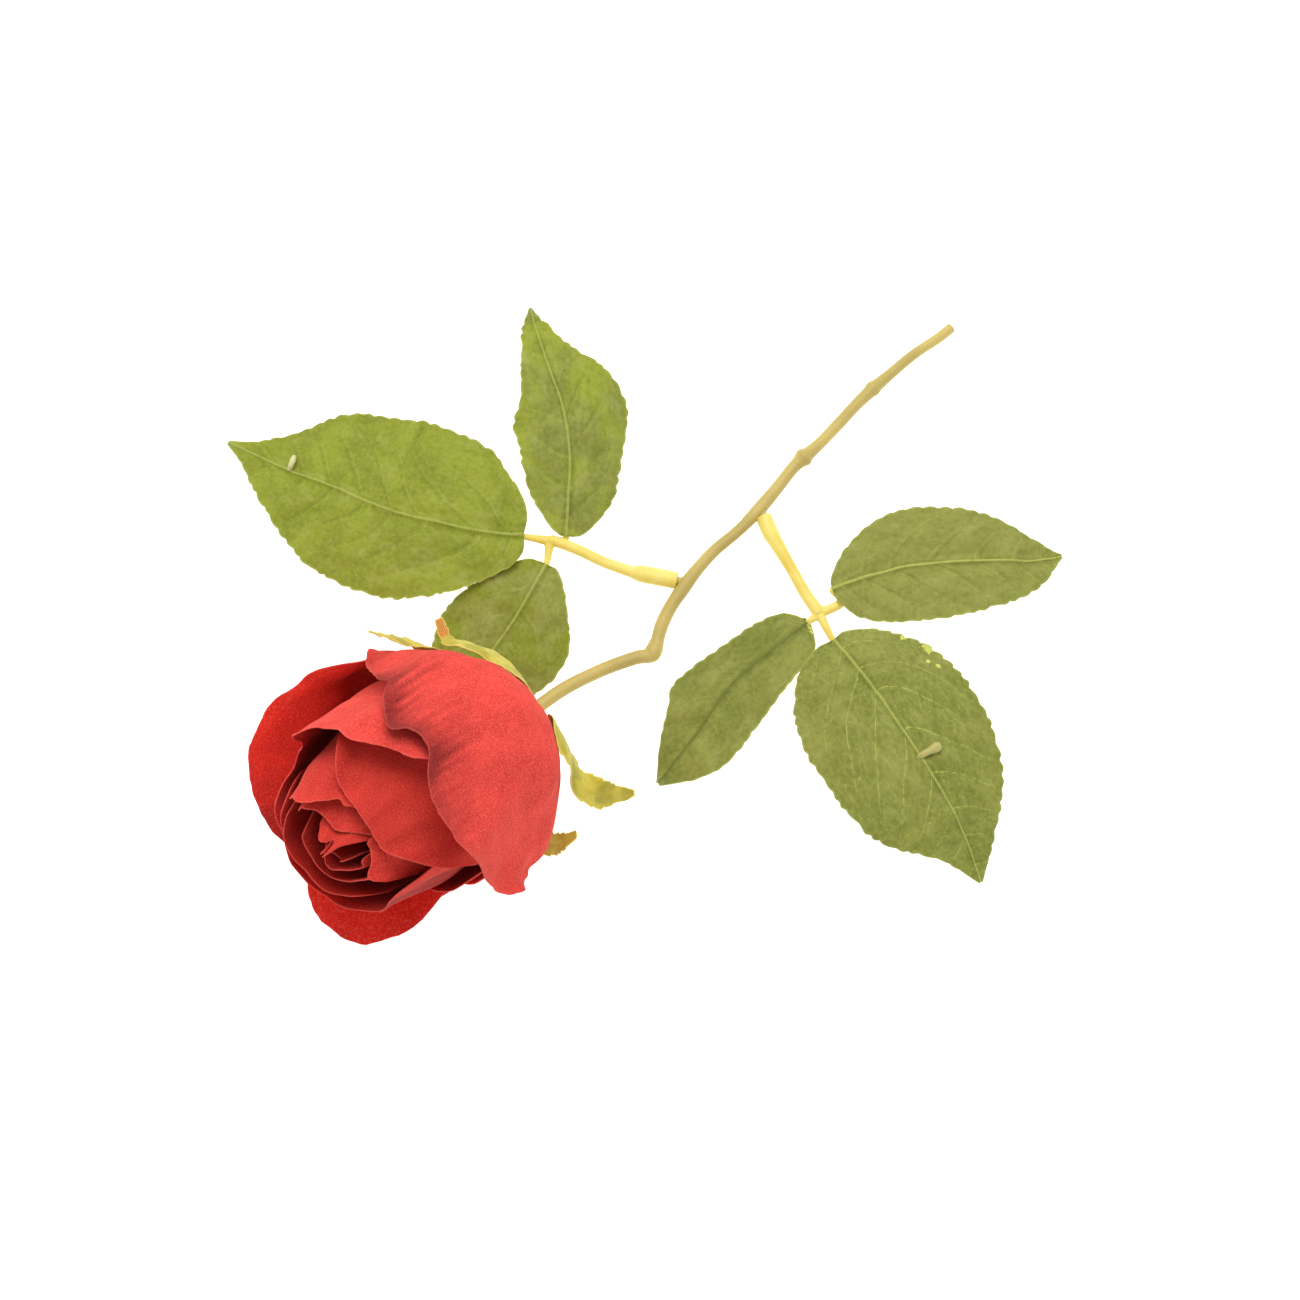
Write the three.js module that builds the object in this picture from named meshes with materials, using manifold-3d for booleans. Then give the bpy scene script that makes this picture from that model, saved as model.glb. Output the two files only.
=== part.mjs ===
// Artificial cut rose lying on a table: a moulded stem with a wire core, two clip-on sprigs of three
// leaflets, a calyx, and a half-open bloom of separate petals threaded on the calyx post.
// Millimetres, +Z up. The origin is the middle of the underside of the whole object's box.
import * as THREE from 'three';
import { mergeVertices } from 'three/addons/utils/BufferGeometryUtils.js';
import Module from 'manifold-3d';

// ---- driving dimensions -------------------------------------------------------------------------
const ORIGIN = [2.1475, -8.8925, 0.014];
const BLOOM_BASE = [-35.6, -23.2, 16.5];
const BLOOM_TURN = 45;
const BLOOM_RISE = 38;
const PETAL_THICK = 0.7;
const PETAL_HUB = 3.2;
const PETAL_CLAW = 0.55;
const PETAL_ROWS = [0, 0.03, 0.12, 0.27, 0.45, 0.63, 0.82, 1];
const LEAF_THICK = 0.6;
const LEAF_DROOP = 2.2;
const SEPAL_THICK = 0.6;
const WIRE_R = 0.55;
const BORE_R = 0.85;
const SOCKET_BORE_R = 1.35;
const PEG_R = 1.0;

// Stem centre line from inside the calyx cup to the cut end, with the stem radius at each point.
const STEM = [
  [-32.9, -20.5, 13.5, 1.5], [-30.3, -17.6, 10.6, 1.6], [-27.2, -13.6, 8.6, 1.65], [-20.0, -8.2, 8.0, 1.65],
  [-11.1, -3.6, 7.6, 1.65], [-3.6, -0.7, 7.2, 1.7], [-0.9, -0.2, 7.05, 1.8], [0.5, 0.5, 7.0, 2.15],
  [1.3, 2.2, 7.0, 2.0], [1.9, 4.2, 7.0, 1.65], [2.9, 7.7, 7.2, 1.7], [5.1, 12.2, 7.6, 1.65],
  [8.3, 17.0, 8.0, 1.8], [11.2, 20.9, 8.3, 1.6], [15.6, 25.8, 8.8, 1.5], [21.7, 31.0, 9.2, 1.45],
  [26.8, 36.5, 9.4, 1.7], [30.6, 41.1, 9.4, 1.6], [34.5, 46.3, 9.2, 1.55], [36.4, 48.4, 9.1, 1.75],
  [37.6, 49.6, 9.0, 2.35], [38.8, 50.7, 8.8, 1.75], [41.6, 53.4, 8.3, 1.5], [46.0, 58.4, 7.4, 1.5],
  [50.5, 63.8, 6.2, 1.5], [53.8, 67.4, 5.4, 1.65], [55.0, 68.7, 5.1, 2.0], [56.2, 69.8, 4.9, 1.65],
  [59.2, 72.6, 4.2, 1.4], [65.3, 78.3, 2.9, 1.3], [71.7, 83.1, 1.9, 1.3], [75.2, 86.1, 1.35, 1.3],
];
// Side pegs that carry the sprig sockets: foot inside the stem, free tip.
const PEG_LEFT = [[8.9, 18.0, 8.1], [3.2, 19.13, 8.17]];
const PEG_RIGHT = [[26.8, 36.5, 9.4], [28.66, 31.86, 9.3]];

// Sprig tubes: points [x, y, z, radius].
const LEFT_STALK = [
  [5.4, 18.7, 8.15, 2.1], [-2.2, 20.2, 8.2, 2.1], [-4.5, 20.7, 8.2, 1.5], [-11.2, 23.2, 8.0, 1.35],
  [-17.0, 26.1, 7.8, 1.3], [-21.7, 28.1, 7.6, 1.3], [-24.4, 28.9, 7.5, 1.4],
];
const RIGHT_STALK = [
  [27.95, 33.6, 9.35, 2.0], [29.3, 30.3, 9.25, 2.05], [30.6, 27.9, 9.1, 1.8], [34.2, 21.6, 8.5, 1.45],
  [37.8, 15.1, 7.8, 1.5], [41.0, 10.5, 7.3, 1.6],
];

// Leaflets: rib points [x, y, z]; the two outlines as [fraction along the rib, half width].
const LEAFLETS = {
  left_leaflet_tip: {
    rib: [[-30.7, 29.8, 8.8], [-40.6, 30.3, 10.6], [-57.8, 33.6, 12.3], [-67.2, 36.7, 12.2], [-78.1, 42.2, 10.0],
      [-88.6, 47.1, 6.8], [-104.4, 56.3, 0.8]],
    right: [[0, 1.2], [-0.01, 4], [0, 8], [0.04, 12.9], [0.1, 17], [0.19, 21.2], [0.29, 24], [0.43, 24.5],
      [0.55, 23.3], [0.67, 20.4], [0.77, 17], [0.83, 13.4], [0.9, 6.4], [0.945, 3], [1, 0.5]],
    left: [[0, 1.2], [0, 4.2], [0.04, 7.6], [0.14, 11.4], [0.25, 18], [0.35, 21.2], [0.47, 21.2],
      [0.58, 20.4], [0.67, 18.6], [0.76, 15.6], [0.83, 11.7], [0.905, 6.7], [0.945, 3.4],
      [1, 0.5]],
  },
  left_leaflet_upper: {
    rib: [[-20.4, 29.6, 8.6], [-19.9, 39.6, 10.2], [-19.6, 49.6, 11.2], [-21.3, 61.6, 11.2], [-24.9, 72.7, 9.8],
      [-28.4, 84.0, 7.8], [-29.7, 89.2, 7.0]],
    left: [[0, 1.2], [0.02, 3.4], [0.09, 6.4], [0.175, 9.6], [0.27, 11.3], [0.37, 12], [0.46, 12.9],
      [0.53, 11.2], [0.61, 8.6], [0.74, 5.4], [0.84, 3.3], [0.93, 1.6], [1, 0.5]],
    right: [[0, 1.2], [0, 3.4], [0.04, 6.4], [0.12, 9.8], [0.18, 11.4], [0.27, 12], [0.345, 13.2],
      [0.45, 15.3], [0.51, 14.8], [0.56, 13.6], [0.63, 11.2], [0.7, 7.8], [0.76, 5],
      [0.85, 2.5], [0.93, 1.3], [1, 0.5]],
  },
  left_leaflet_lower: {
    rib: [[-25.3, 22.7, 8.2], [-29.8, 14.4, 7.8], [-33.7, 7.8, 6.8], [-38.4, 1.2, 5.6], [-43.0, -7.0, 4.2],
      [-47.2, -14.7, 2.8], [-50.4, -20.6, 1.7]],
    left: [[0, 1.2], [0, 3], [0.05, 6.4], [0.17, 11.6], [0.3, 15.5], [0.45, 16], [0.58, 14], [0.72, 9.8],
      [0.87, 4.6], [1, 0.5]],
    right: [[0, 1.2], [0.02, 5.0], [0.11, 9.8], [0.26, 13.6], [0.40, 15.2], [0.52, 14.9], [0.64, 12.0], [0.76, 8.2],
      [0.88, 4.2], [1, 0.5]],
  },
  right_leaflet_tip: {
    rib: [[44.3, 3.4, 9.4], [49.6, -3.8, 11.3], [55.3, -11.9, 12.2], [64.6, -26.5, 12.4], [71.9, -37.9, 8.6],
      [76.0, -46.0, 4.6], [79.3, -54.5, 0.8]],
    left: [[0, 1.2], [0, 3.4], [0.06, 8.4], [0.17, 13.4], [0.28, 17.3], [0.38, 19.3], [0.5, 19.2],
      [0.62, 16.4], [0.74, 11.2], [0.87, 5.6], [1, 0.5]],
    right: [[0, 1.2], [-0.01, 4.8], [0.03, 11.4], [0.1, 15.6], [0.21, 19.8], [0.34, 22], [0.47, 22.3],
      [0.58, 20.8], [0.69, 16.8], [0.81, 10.2], [0.9, 5.3], [1, 0.5]],
  },
  right_leaflet_upper: {
    rib: [[44.1, 16.1, 9.8], [51.3, 18.4, 10.8], [62.7, 21.1, 11.8], [79.2, 22.8, 11.0], [92.3, 23.4, 8.4],
      [100.3, 24.8, 7.0]],
    left: [[0, 1.2], [0.02, 2.8], [0.09, 5.6], [0.18, 8.8], [0.3, 12.3], [0.42, 14.4], [0.55, 13.6],
      [0.68, 10.4], [0.81, 6.4], [0.92, 2.9], [1, 0.5]],
    right: [[0, 1.2], [0.01, 3.6], [0.08, 7.8], [0.20, 11.2], [0.34, 13.4], [0.48, 13.7], [0.60, 12.4],
      [0.74, 9.6], [0.85, 6.0], [0.93, 2.9], [1, 0.5]],
  },
  right_leaflet_lower: {
    rib: [[38.2, 8.2, 8.4], [34.2, 5.0, 7.9], [24.6, -2.8, 7.8], [17.8, -9.4, 7.2], [13.1, -16.5, 5.8],
      [7.2, -23.9, 3.6], [1.9, -30.5, 2.0]],
    right: [[0, 1.2], [0.02, 2], [0.12, 5.2], [0.24, 7.4], [0.38, 8.3], [0.5, 9.8], [0.61, 11.3],
      [0.73, 8.8], [0.86, 5.2], [1, 0.5]],
    left: [[0, 1.2], [0.02, 2.8], [0.10, 5.9], [0.27, 9.2], [0.46, 11.4], [0.62, 11.0], [0.78, 10.0], [0.88, 6.6],
      [1, 0.5]],
  },
};

// Sepals of the calyx star, in the bloom's frame: points [radius, angle, height, half width].
const SEPALS = [
  [[4.4, 5, -1, 2.4], [12, 2, -0.7, 4.4], [19, 1, 1.7, 4.6], [24.6, 10, 5.0, 4.2], [27.2, 26, 7.0, 3.6],
    [28.4, 40, 8.4, 2.6], [29.4, 48, 8.8, 1.5], [33.5, 54, 6.0, 1.0]],
  [[4.4, 80, -1, 2.4], [14, 78, -0.4, 4.2], [22, 74, 3.2, 4.6], [28.6, 64, 8.6, 3.6], [32.8, 62, 15.5, 2.6],
    [36.4, 57.5, 22.5, 1.7], [40, 52.5, 30.5, 0.6]],
  [[4.4, -55, -1, 2.4], [12, -45, -0.6, 4.2], [20, -33, 2.4, 4.4], [25.8, -33, 7.0, 4.2], [27.6, -43, 8.6, 3.6],
    [28.6, -54, 8.4, 3.2], [30.6, -62, 6.2, 3.3], [33.4, -66.5, 2.2, 2.8], [36.6, -66.5, -2.2, 0.7]],
  [[4.4, -128, -1, 2.4], [13, -126, -0.5, 4.2], [20, -120, 2.4, 4.0], [24.6, -110, 5.6, 3.4],
    [27.6, -98, 8.6, 2.8], [30.2, -86, 9.6, 2.2], [32.6, -77, 8.6, 0.7]],
  [[4.4, 155, -1, 2.4], [12, 152, -0.9, 4.2], [19, 146, 0.4, 4.0], [26, 138, 2.9, 3.5], [32.2, 131, 7.4, 2.6],
    [36.4, 126, 12.4, 0.8]],
];

// Petals, in the bloom's frame. Each is a sheet round the axis: it leaves the hub at height start, swells to
// the belly radius at height full, and changes to the mouth radius at height top. rim is the edge's height.
// Every list is [angle, value]. Below its widest part a petal narrows to PETAL_CLAW of its angle at the hub.
const PETALS = {
  petal_outer_1: { start: 0, full: 24, top: 55,
    rim: [[-86, 26], [-83, 31], [-79, 36], [-73, 44], [-66, 51.5], [-55, 57], [-40, 59.5], [-22, 58.5],
      [-10, 55], [-3, 50.5], [9, 50.5], [15, 52.5], [22, 49.5], [31, 44], [36, 38.5],
      [42, 38.5], [55, 33], [66, 27], [76, 19]],
    belly: [[-90, 27], [-60, 29], [-30, 32], [0, 32.8], [25, 31.8], [45, 30.6], [60, 31.2], [78, 33]],
    mouth: [[-90, 88], [-84, 80], [-79, 69], [-73, 46], [-66, 37], [-48, 34.5], [-30, 31], [-10, 30.5],
      [10, 30], [30, 29.5], [45, 32], [60, 36], [78, 46]] },
  petal_outer_2: { start: 1.3, full: 22, top: 45,
    rim: [[52, 17], [60, 23], [68, 28], [76, 31], [84, 33], [90, 35], [95, 39], [101, 43], [108, 45.5],
      [118, 46.5], [135, 45.5], [148, 44], [158, 40], [168, 32]],
    belly: [[56, 27.9], [70, 29.4], [85, 31.8], [100, 32], [130, 31], [174, 28.8]],
    mouth: [[50, 40], [60, 48], [68, 56], [76, 56], [86, 53], [94, 46], [102, 40], [112, 38], [135, 37.6],
      [155, 37.5], [174, 36]] },
  petal_outer_3: { start: 3.9, full: 16, top: 45,
    rim: [[144, 24], [150, 31], [158, 38], [166, 42.8], [178, 45.4], [190, 45.2], [199, 43.6],
      [206, 40.6], [212, 36.6], [216, 31.8], [219, 25]],
    belly: [[140, 25.4], [160, 25.4], [190, 25.2], [220, 22.8]],
    mouth: [[140, 34.8], [160, 35.4], [178, 38.2], [196, 38.8], [206, 40], [214, 44], [220, 47]] },
  petal_outer_4: { start: 2.6, full: 16, top: 50,
    rim: [[-148, 17], [-138, 23], [-122, 27], [-106, 27], [-96, 23], [-90, 17]],
    belly: [[-150, 25.8], [-120, 24.8], [-86, 23.6]],
    mouth: [[-150, 32], [-110, 29], [-86, 29]] },
  petal_outer_5: { start: 0, full: 16, top: 45,
    rim: [[114, 16], [122, 24], [132, 29], [145, 33], [165, 34], [185, 33], [198, 31], [208, 29], [215, 26],
      [219, 20]],
    belly: [[112, 34], [145, 32.2], [180, 30.1], [205, 28.5], [220, 27.4]],
    mouth: [[112, 44], [160, 43], [190, 42], [220, 41]] },
  petal_middle_1: { start: 5.2, full: 27, top: 60,
    rim: [[-14, 42], [-8, 48.5], [-2, 52], [8, 54.2], [18, 57], [30, 58.4], [41, 55.8], [53, 56.4],
      [63, 58], [71, 56], [77, 52], [84, 50.5], [92, 50], [99, 51], [106, 53.5], [114, 58],
      [124, 58.5], [134, 56], [142, 50], [148, 42]],
    belly: [[-16, 29.2], [30, 28.4], [60, 27], [100, 26.8], [152, 24.6]],
    mouth: [[-16, 27], [0, 26.5], [30, 26.8], [45, 26.3], [55, 26.2], [63, 26.6], [70, 26.4], [76, 23.5],
      [82, 21], [90, 19.6], [98, 19], [106, 19.6], [115, 19.6], [130, 19.6], [152, 21]] },
  petal_middle_2: { start: 6.5, full: 28, top: 60,
    rim: [[-94, 24], [-87, 30], [-80, 37], [-72, 45], [-64, 53], [-56, 58.5], [-46, 61], [-17, 61],
      [10, 60.5], [25, 60.5], [36, 60], [43, 56], [50, 49], [56, 41]],
    belly: [[-98, 21], [-60, 24.6], [-20, 26.5], [62, 24.8]],
    mouth: [[-98, 24], [-75, 22], [-62, 19.8], [-50, 15.8], [-40, 13.3], [-17, 12.2], [10, 12.3],
      [22, 13.8], [34, 17], [45, 21.2], [62, 23]] },
  petal_middle_3: { start: 5.2, full: 24, top: 60,
    rim: [[-168, 20], [-158, 28], [-140, 35], [-122, 37], [-108, 35], [-98, 29], [-92, 22]],
    belly: [[-172, 23], [-150, 22.7], [-120, 22.8], [-88, 23]],
    mouth: [[-172, 21], [-150, 20], [-120, 21], [-88, 24]] },
  petal_middle_4: { start: 7.8, full: 26, top: 60,
    rim: [[104, 48], [108, 55], [114, 60], [130, 60], [147, 60.2], [162, 59.7], [178, 59.3],
      [190, 57.8], [204, 57], [219, 56], [232, 56], [250, 58], [266, 60], [276, 58], [284, 51]],
    belly: [[100, 24.6], [130, 23.4], [190, 21.2], [240, 20], [262, 19.2], [290, 18.8]],
    mouth: [[100, 18.2], [130, 18], [178, 18], [204, 18.2], [219, 18], [232, 17], [255, 16], [275, 15.8],
      [290, 16.2]] },
  petal_inner_1: { start: 9.1, full: 28, top: 60,
    rim: [[-28, 52], [-22, 59], [-14, 60], [14, 59.6], [24, 61], [31, 61], [41, 63], [50, 64],
      [60, 65], [72, 65], [84, 62], [95, 60], [103, 52]],
    belly: [[-30, 24.1], [60, 23.2], [106, 22]],
    mouth: [[-30, 10.9], [-14, 10.2], [6, 10.1], [14, 10.7], [24, 12], [41, 14.2], [60, 15.4], [72, 16.2],
      [90, 16.6], [106, 16.6]] },
  petal_inner_2: { start: 10.4, full: 28, top: 60,
    rim: [[-91, 50], [-87, 57], [-82, 63], [-76, 63.5], [-65, 62], [-45, 61], [-31, 60.5], [-22, 56]],
    belly: [[-95, 16.4], [-60, 19], [-20, 21.6]],
    mouth: [[-95, 13.6], [-80, 12], [-65, 10.4], [-31, 8.9], [-20, 8.6]] },
  petal_inner_3: { start: 10.4, full: 28, top: 60,
    rim: [[97, 50], [104, 58], [116, 61], [128, 62], [145, 62], [164, 61], [185, 60.8], [202, 59.6],
      [218, 57.5], [230, 50]],
    belly: [[94, 20.6], [164, 19.8], [235, 17.6]],
    mouth: [[94, 15], [116, 16.2], [140, 15.6], [164, 15], [185, 14.3], [202, 14], [218, 13.2], [235, 12.8]] },
  petal_inner_4: { start: 11.7, full: 29, top: 60,
    rim: [[-42, 50], [-37, 55], [-30, 58], [-14, 60], [0, 61], [20, 62], [40, 62.4], [55, 62.4],
      [66, 62.4], [78, 62.5], [88, 61.5], [97, 60.5], [103, 52]],
    belly: [[-45, 17.6], [60, 19], [106, 18.2]],
    mouth: [[-45, 7.2], [-30, 6.9], [0, 6.4], [20, 6.4], [40, 7.4], [55, 9.4], [66, 11.4], [78, 12.6],
      [92, 13.4], [106, 13.4]] },
  petal_inner_5: { start: 13, full: 29, top: 60,
    rim: [[101, 54], [108, 62], [131, 62], [165, 61], [188, 60.6], [217, 60], [240, 59.5], [270, 60],
      [296, 60], [308, 54]],
    belly: [[98, 16.2], [180, 16.4], [250, 14.2], [311, 14]],
    mouth: [[98, 10.6], [131, 10.2], [188, 10], [217, 9.4], [240, 8.9], [270, 8.6], [311, 8.8]] },
  petal_heart_1: { start: 14.3, full: 30, top: 60,
    rim: [[-42, 54], [-34, 59], [-24, 62], [-14, 64], [-4, 67], [4, 67.6], [10, 66.8], [17, 64.5],
      [25, 63.5], [34, 63.6], [45, 65], [58, 66.2], [66, 65.5], [74, 63], [86, 60.5],
      [104, 58], [120, 54]],
    belly: [[-44, 12.6], [126, 13]],
    mouth: [[-44, 5], [-10, 5.1], [10, 4.9], [35, 5.1], [60, 6.6], [80, 7], [104, 6.8], [126, 7]] },
  petal_heart_2: { start: 15.6, full: 30, top: 60,
    rim: [[106, 54], [116, 58], [140, 60], [170, 62], [200, 63], [230, 61], [255, 59], [275, 60],
      [290, 58], [306, 52]],
    belly: [[100, 10.6], [310, 11]],
    mouth: [[100, 5.1], [170, 6], [230, 5.8], [280, 5.6], [310, 5.6]] },
  petal_heart_3: { start: 16.9, full: 30, top: 60,
    rim: [[-56, 50], [-40, 58], [0, 61], [60, 63], [120, 66], [150, 62], [190, 60], [230, 62],
      [262, 58], [280, 50]],
    belly: [[-60, 8], [284, 8]],
    mouth: [[-60, 3.1], [60, 3.1], [150, 3.3], [284, 3.1]] },
};

// ---- colours ------------------------------------------------------------------------------------
const paint = (color, roughness, metalness = 0) =>
  new THREE.MeshStandardMaterial({ color, roughness, metalness });
const STEM_GREEN = '#c2ae67';
const STALK_YELLOW = '#efe07c';
const LEAF_GREEN = '#90953f';
const SEPAL_GREEN = '#b3a83e';
const PETAL_REDS = { outer: '#d94a42', middle: '#cf4035', inner: '#bb372d', heart: '#a82f27' };

// ---- curves and solids --------------------------------------------------------------------------
const rad = THREE.MathUtils.degToRad;

// Smooth curve through [x, value] points, flat beyond its ends.
function along(points, x) {
  const last = points.length - 1;
  const at = Math.min(Math.max(x, points[0][0]), points[last][0]);
  let i = 0;
  while (i < last - 1 && at > points[i + 1][0]) i += 1;
  const slope = (k) => {
    const a = points[Math.max(k - 1, 0)];
    const b = points[Math.min(k + 1, last)];
    return (b[1] - a[1]) / (b[0] - a[0]);
  };
  const d = points[i + 1][0] - points[i][0];
  const t = (at - points[i][0]) / d;
  const t2 = t * t;
  const t3 = t2 * t;
  return (2 * t3 - 3 * t2 + 1) * points[i][1] + (t3 - 2 * t2 + t) * slope(i) * d
    + (3 * t2 - 2 * t3) * points[i + 1][1] + (t3 - t2) * slope(i + 1) * d;
}

// Value k of a list of points at fraction u of its length, smooth from point to point.
function blend(points, k, u) {
  return along(points.map((p, i) => [i / (points.length - 1), p[k]]), u);
}

function geometryOf(vertices, triangles) {
  const geometry = new THREE.BufferGeometry();
  geometry.setAttribute('position', new THREE.Float32BufferAttribute(vertices.flatMap((v) => v.toArray()), 3));
  geometry.setIndex(triangles);
  geometry.computeVertexNormals();
  return geometry;
}

// Closed sheet of even thickness about a grid of middle points rows[i][j].
function sheet(rows, thickness) {
  const n = rows.length;
  const m = rows[0].length;
  const middle = (i, j) => rows[Math.min(Math.max(i, 0), n - 1)][Math.min(Math.max(j, 0), m - 1)];
  const front = [];
  const back = [];
  for (let i = 0; i < n; i += 1) {
    for (let j = 0; j < m; j += 1) {
      const du = middle(i + 1, j).clone().sub(middle(i - 1, j));
      const dv = middle(i, j + 1).clone().sub(middle(i, j - 1));
      const step = du.cross(dv).normalize().multiplyScalar(thickness / 2);
      front.push(middle(i, j).clone().add(step));
      back.push(middle(i, j).clone().sub(step));
    }
  }
  const triangles = [];
  const f = (i, j) => i * m + j;
  const b = (i, j) => n * m + i * m + j;
  const quad = (p, q, r, s) => triangles.push(p, q, r, p, r, s);
  for (let i = 0; i < n - 1; i += 1) {
    for (let j = 0; j < m - 1; j += 1) {
      quad(f(i, j), f(i + 1, j), f(i + 1, j + 1), f(i, j + 1));
      quad(b(i, j), b(i, j + 1), b(i + 1, j + 1), b(i + 1, j));
    }
    quad(f(i + 1, 0), f(i, 0), b(i, 0), b(i + 1, 0));
    quad(f(i, m - 1), f(i + 1, m - 1), b(i + 1, m - 1), b(i, m - 1));
  }
  for (let j = 0; j < m - 1; j += 1) {
    quad(f(0, j), f(0, j + 1), b(0, j + 1), b(0, j));
    quad(f(n - 1, j + 1), f(n - 1, j), b(n - 1, j), b(n - 1, j + 1));
  }
  return geometryOf([...front, ...back], triangles);
}

// Closed round tube along [x, y, z, radius] points. A fixed radius can take the place of the listed one.
function tube(points, sides, radius) {
  const centres = points.map((p) => new THREE.Vector3(p[0], p[1], p[2]));
  const tangents = centres.map((c, i) => centres[Math.min(i + 1, centres.length - 1)].clone()
    .sub(centres[Math.max(i - 1, 0)]).normalize());
  let side = new THREE.Vector3(0, 0, 1);
  const vertices = [];
  centres.forEach((c, i) => {
    side = side.clone().addScaledVector(tangents[i], -side.dot(tangents[i])).normalize();
    const other = tangents[i].clone().cross(side);
    const r = radius || points[i][3];
    for (let k = 0; k < sides; k += 1) {
      const a = (2 * Math.PI * k) / sides;
      vertices.push(c.clone().addScaledVector(side, r * Math.cos(a)).addScaledVector(other, r * Math.sin(a)));
    }
  });
  const triangles = [];
  const at = (i, k) => i * sides + (k % sides);
  for (let i = 0; i < centres.length - 1; i += 1) {
    for (let k = 0; k < sides; k += 1) {
      triangles.push(at(i, k), at(i, k + 1), at(i + 1, k + 1), at(i, k), at(i + 1, k + 1), at(i + 1, k));
    }
  }
  const end = centres.length - 1;
  for (let k = 1; k < sides - 1; k += 1) {
    triangles.push(at(0, 0), at(0, k + 1), at(0, k), at(end, 0), at(end, k), at(end, k + 1));
  }
  return geometryOf(vertices, triangles);
}

const wasm = await Module();
wasm.setup();

function solid(geometry) {
  const bare = geometry.clone();
  bare.deleteAttribute('normal');
  if (bare.getAttribute('uv')) bare.deleteAttribute('uv');
  const merged = mergeVertices(bare, 1e-4);
  return new wasm.Manifold(new wasm.Mesh({
    numProp: 3,
    vertProperties: merged.attributes.position.array,
    triVerts: new Uint32Array(merged.index.array),
  }));
}

function shapeOf(manifold) {
  const mesh = manifold.getMesh();
  const geometry = new THREE.BufferGeometry();
  const positions = new Float32Array(mesh.numVert * 3);
  for (let i = 0; i < mesh.numVert; i += 1) {
    for (let k = 0; k < 3; k += 1) positions[3 * i + k] = mesh.vertProperties[i * mesh.numProp + k];
  }
  geometry.setAttribute('position', new THREE.BufferAttribute(positions, 3));
  geometry.setIndex(new THREE.BufferAttribute(new Uint32Array(mesh.triVerts), 1));
  geometry.computeVertexNormals();
  return geometry;
}

const joined = (geometries) => geometries.map(solid).reduce((whole, next) => whole.add(next));

function piece(name, geometry, material) {
  const mesh = new THREE.Mesh(geometry, material);
  mesh.name = name;
  return mesh;
}

// ---- leaflets and sprigs ------------------------------------------------------------------------
// Point of a leaflet at fraction u along it and k across it, from -1 at the right edge to 1 at the left.
function leafPoint(leaf, u, k) {
  const edge = k < 0 ? leaf.right : leaf.left;
  const ribAt = 0.35 * u + 0.325 * (blend(leaf.left, 0, u) + blend(leaf.right, 0, u));
  const s = ribAt + (blend(edge, 0, u) - ribAt) * Math.abs(k);
  const w = blend(edge, 1, u) * k;
  const rib = (t) => new THREE.Vector3(blend(leaf.rib, 0, t), blend(leaf.rib, 1, t), blend(leaf.rib, 2, t));
  const inside = Math.min(Math.max(s, 0), 1);
  const tangent = rib(Math.min(inside + 0.02, 1)).sub(rib(Math.max(inside - 0.02, 0)));
  tangent.z = 0;
  tangent.normalize();
  const point = rib(inside);
  if (s < 0) point.addScaledVector(tangent, s * 60);
  point.x -= tangent.y * w;
  point.y += tangent.x * w;
  point.z -= LEAF_DROOP * (w / 20) ** 2;
  return point;
}

function leaflet(leaf) {
  const rows = [];
  for (let i = 0; i <= 16; i += 1) {
    rows.push([1, 0.55, 0, -0.55, -1].map((k) => leafPoint(leaf, i / 16, k)));
  }
  return sheet(rows, LEAF_THICK);
}

// Moulded rib under a leaflet, from the leaflet's foot to fraction reach of its length.
function underRib(leaf, reach) {
  const points = [];
  for (let i = 0; i <= 6; i += 1) {
    const t = (i / 6) * reach;
    points.push([blend(leaf.rib, 0, t), blend(leaf.rib, 1, t), blend(leaf.rib, 2, t) - 1.35, 0.75 - 0.35 * (i / 6)]);
  }
  return points;
}

function sprig(stalk, bore, leaves, joint) {
  const parts = [tube(stalk, 10)];
  leaves.forEach((leaf) => {
    const rib = underRib(leaf, 0.55);
    parts.push(tube([[...joint, 1.25], [rib[0][0], rib[0][1], rib[0][2] - 0.1, 0.8], ...rib.slice(1)], 8));
  });
  return shapeOf(joined(parts).subtract(solid(tube(bore.map((p) => [...p, SOCKET_BORE_R]), 10))));
}

// ---- bloom --------------------------------------------------------------------------------------
function petalRadius(petal, angle, height) {
  const belly = along(petal.belly, angle);
  if (height <= petal.full) {
    const x = 1 - (height - petal.start) / (petal.full - petal.start);
    return PETAL_HUB + (belly - PETAL_HUB) * Math.sqrt(Math.max(0, 1 - x * x));
  }
  const y = (height - petal.full) / (petal.top - petal.full);
  return belly + (along(petal.mouth, angle) - belly) * y * y;
}

function petal(shape) {
  const first = shape.rim[0][0];
  const span = shape.rim[shape.rim.length - 1][0] - first;
  const columns = Math.max(6, Math.round((span * Math.sqrt(along(shape.belly, first + span / 2))) / 55));
  const rows = [];
  for (let i = 0; i <= columns; i += 1) {
    const wide = first + (span * i) / columns;
    const rise = along(shape.rim, wide) - shape.start;
    rows.push(PETAL_ROWS.map((part) => {
      const height = shape.start + rise * part;
      const claw = PETAL_CLAW + (1 - PETAL_CLAW) * Math.sin(Math.min(1, part / 0.45) * (Math.PI / 2));
      const angle = first + span / 2 + (wide - first - span / 2) * claw;
      const r = petalRadius(shape, angle, height);
      return new THREE.Vector3(r * Math.cos(rad(angle)), r * Math.sin(rad(angle)), height);
    }));
  }
  return sheet(rows, PETAL_THICK);
}

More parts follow.
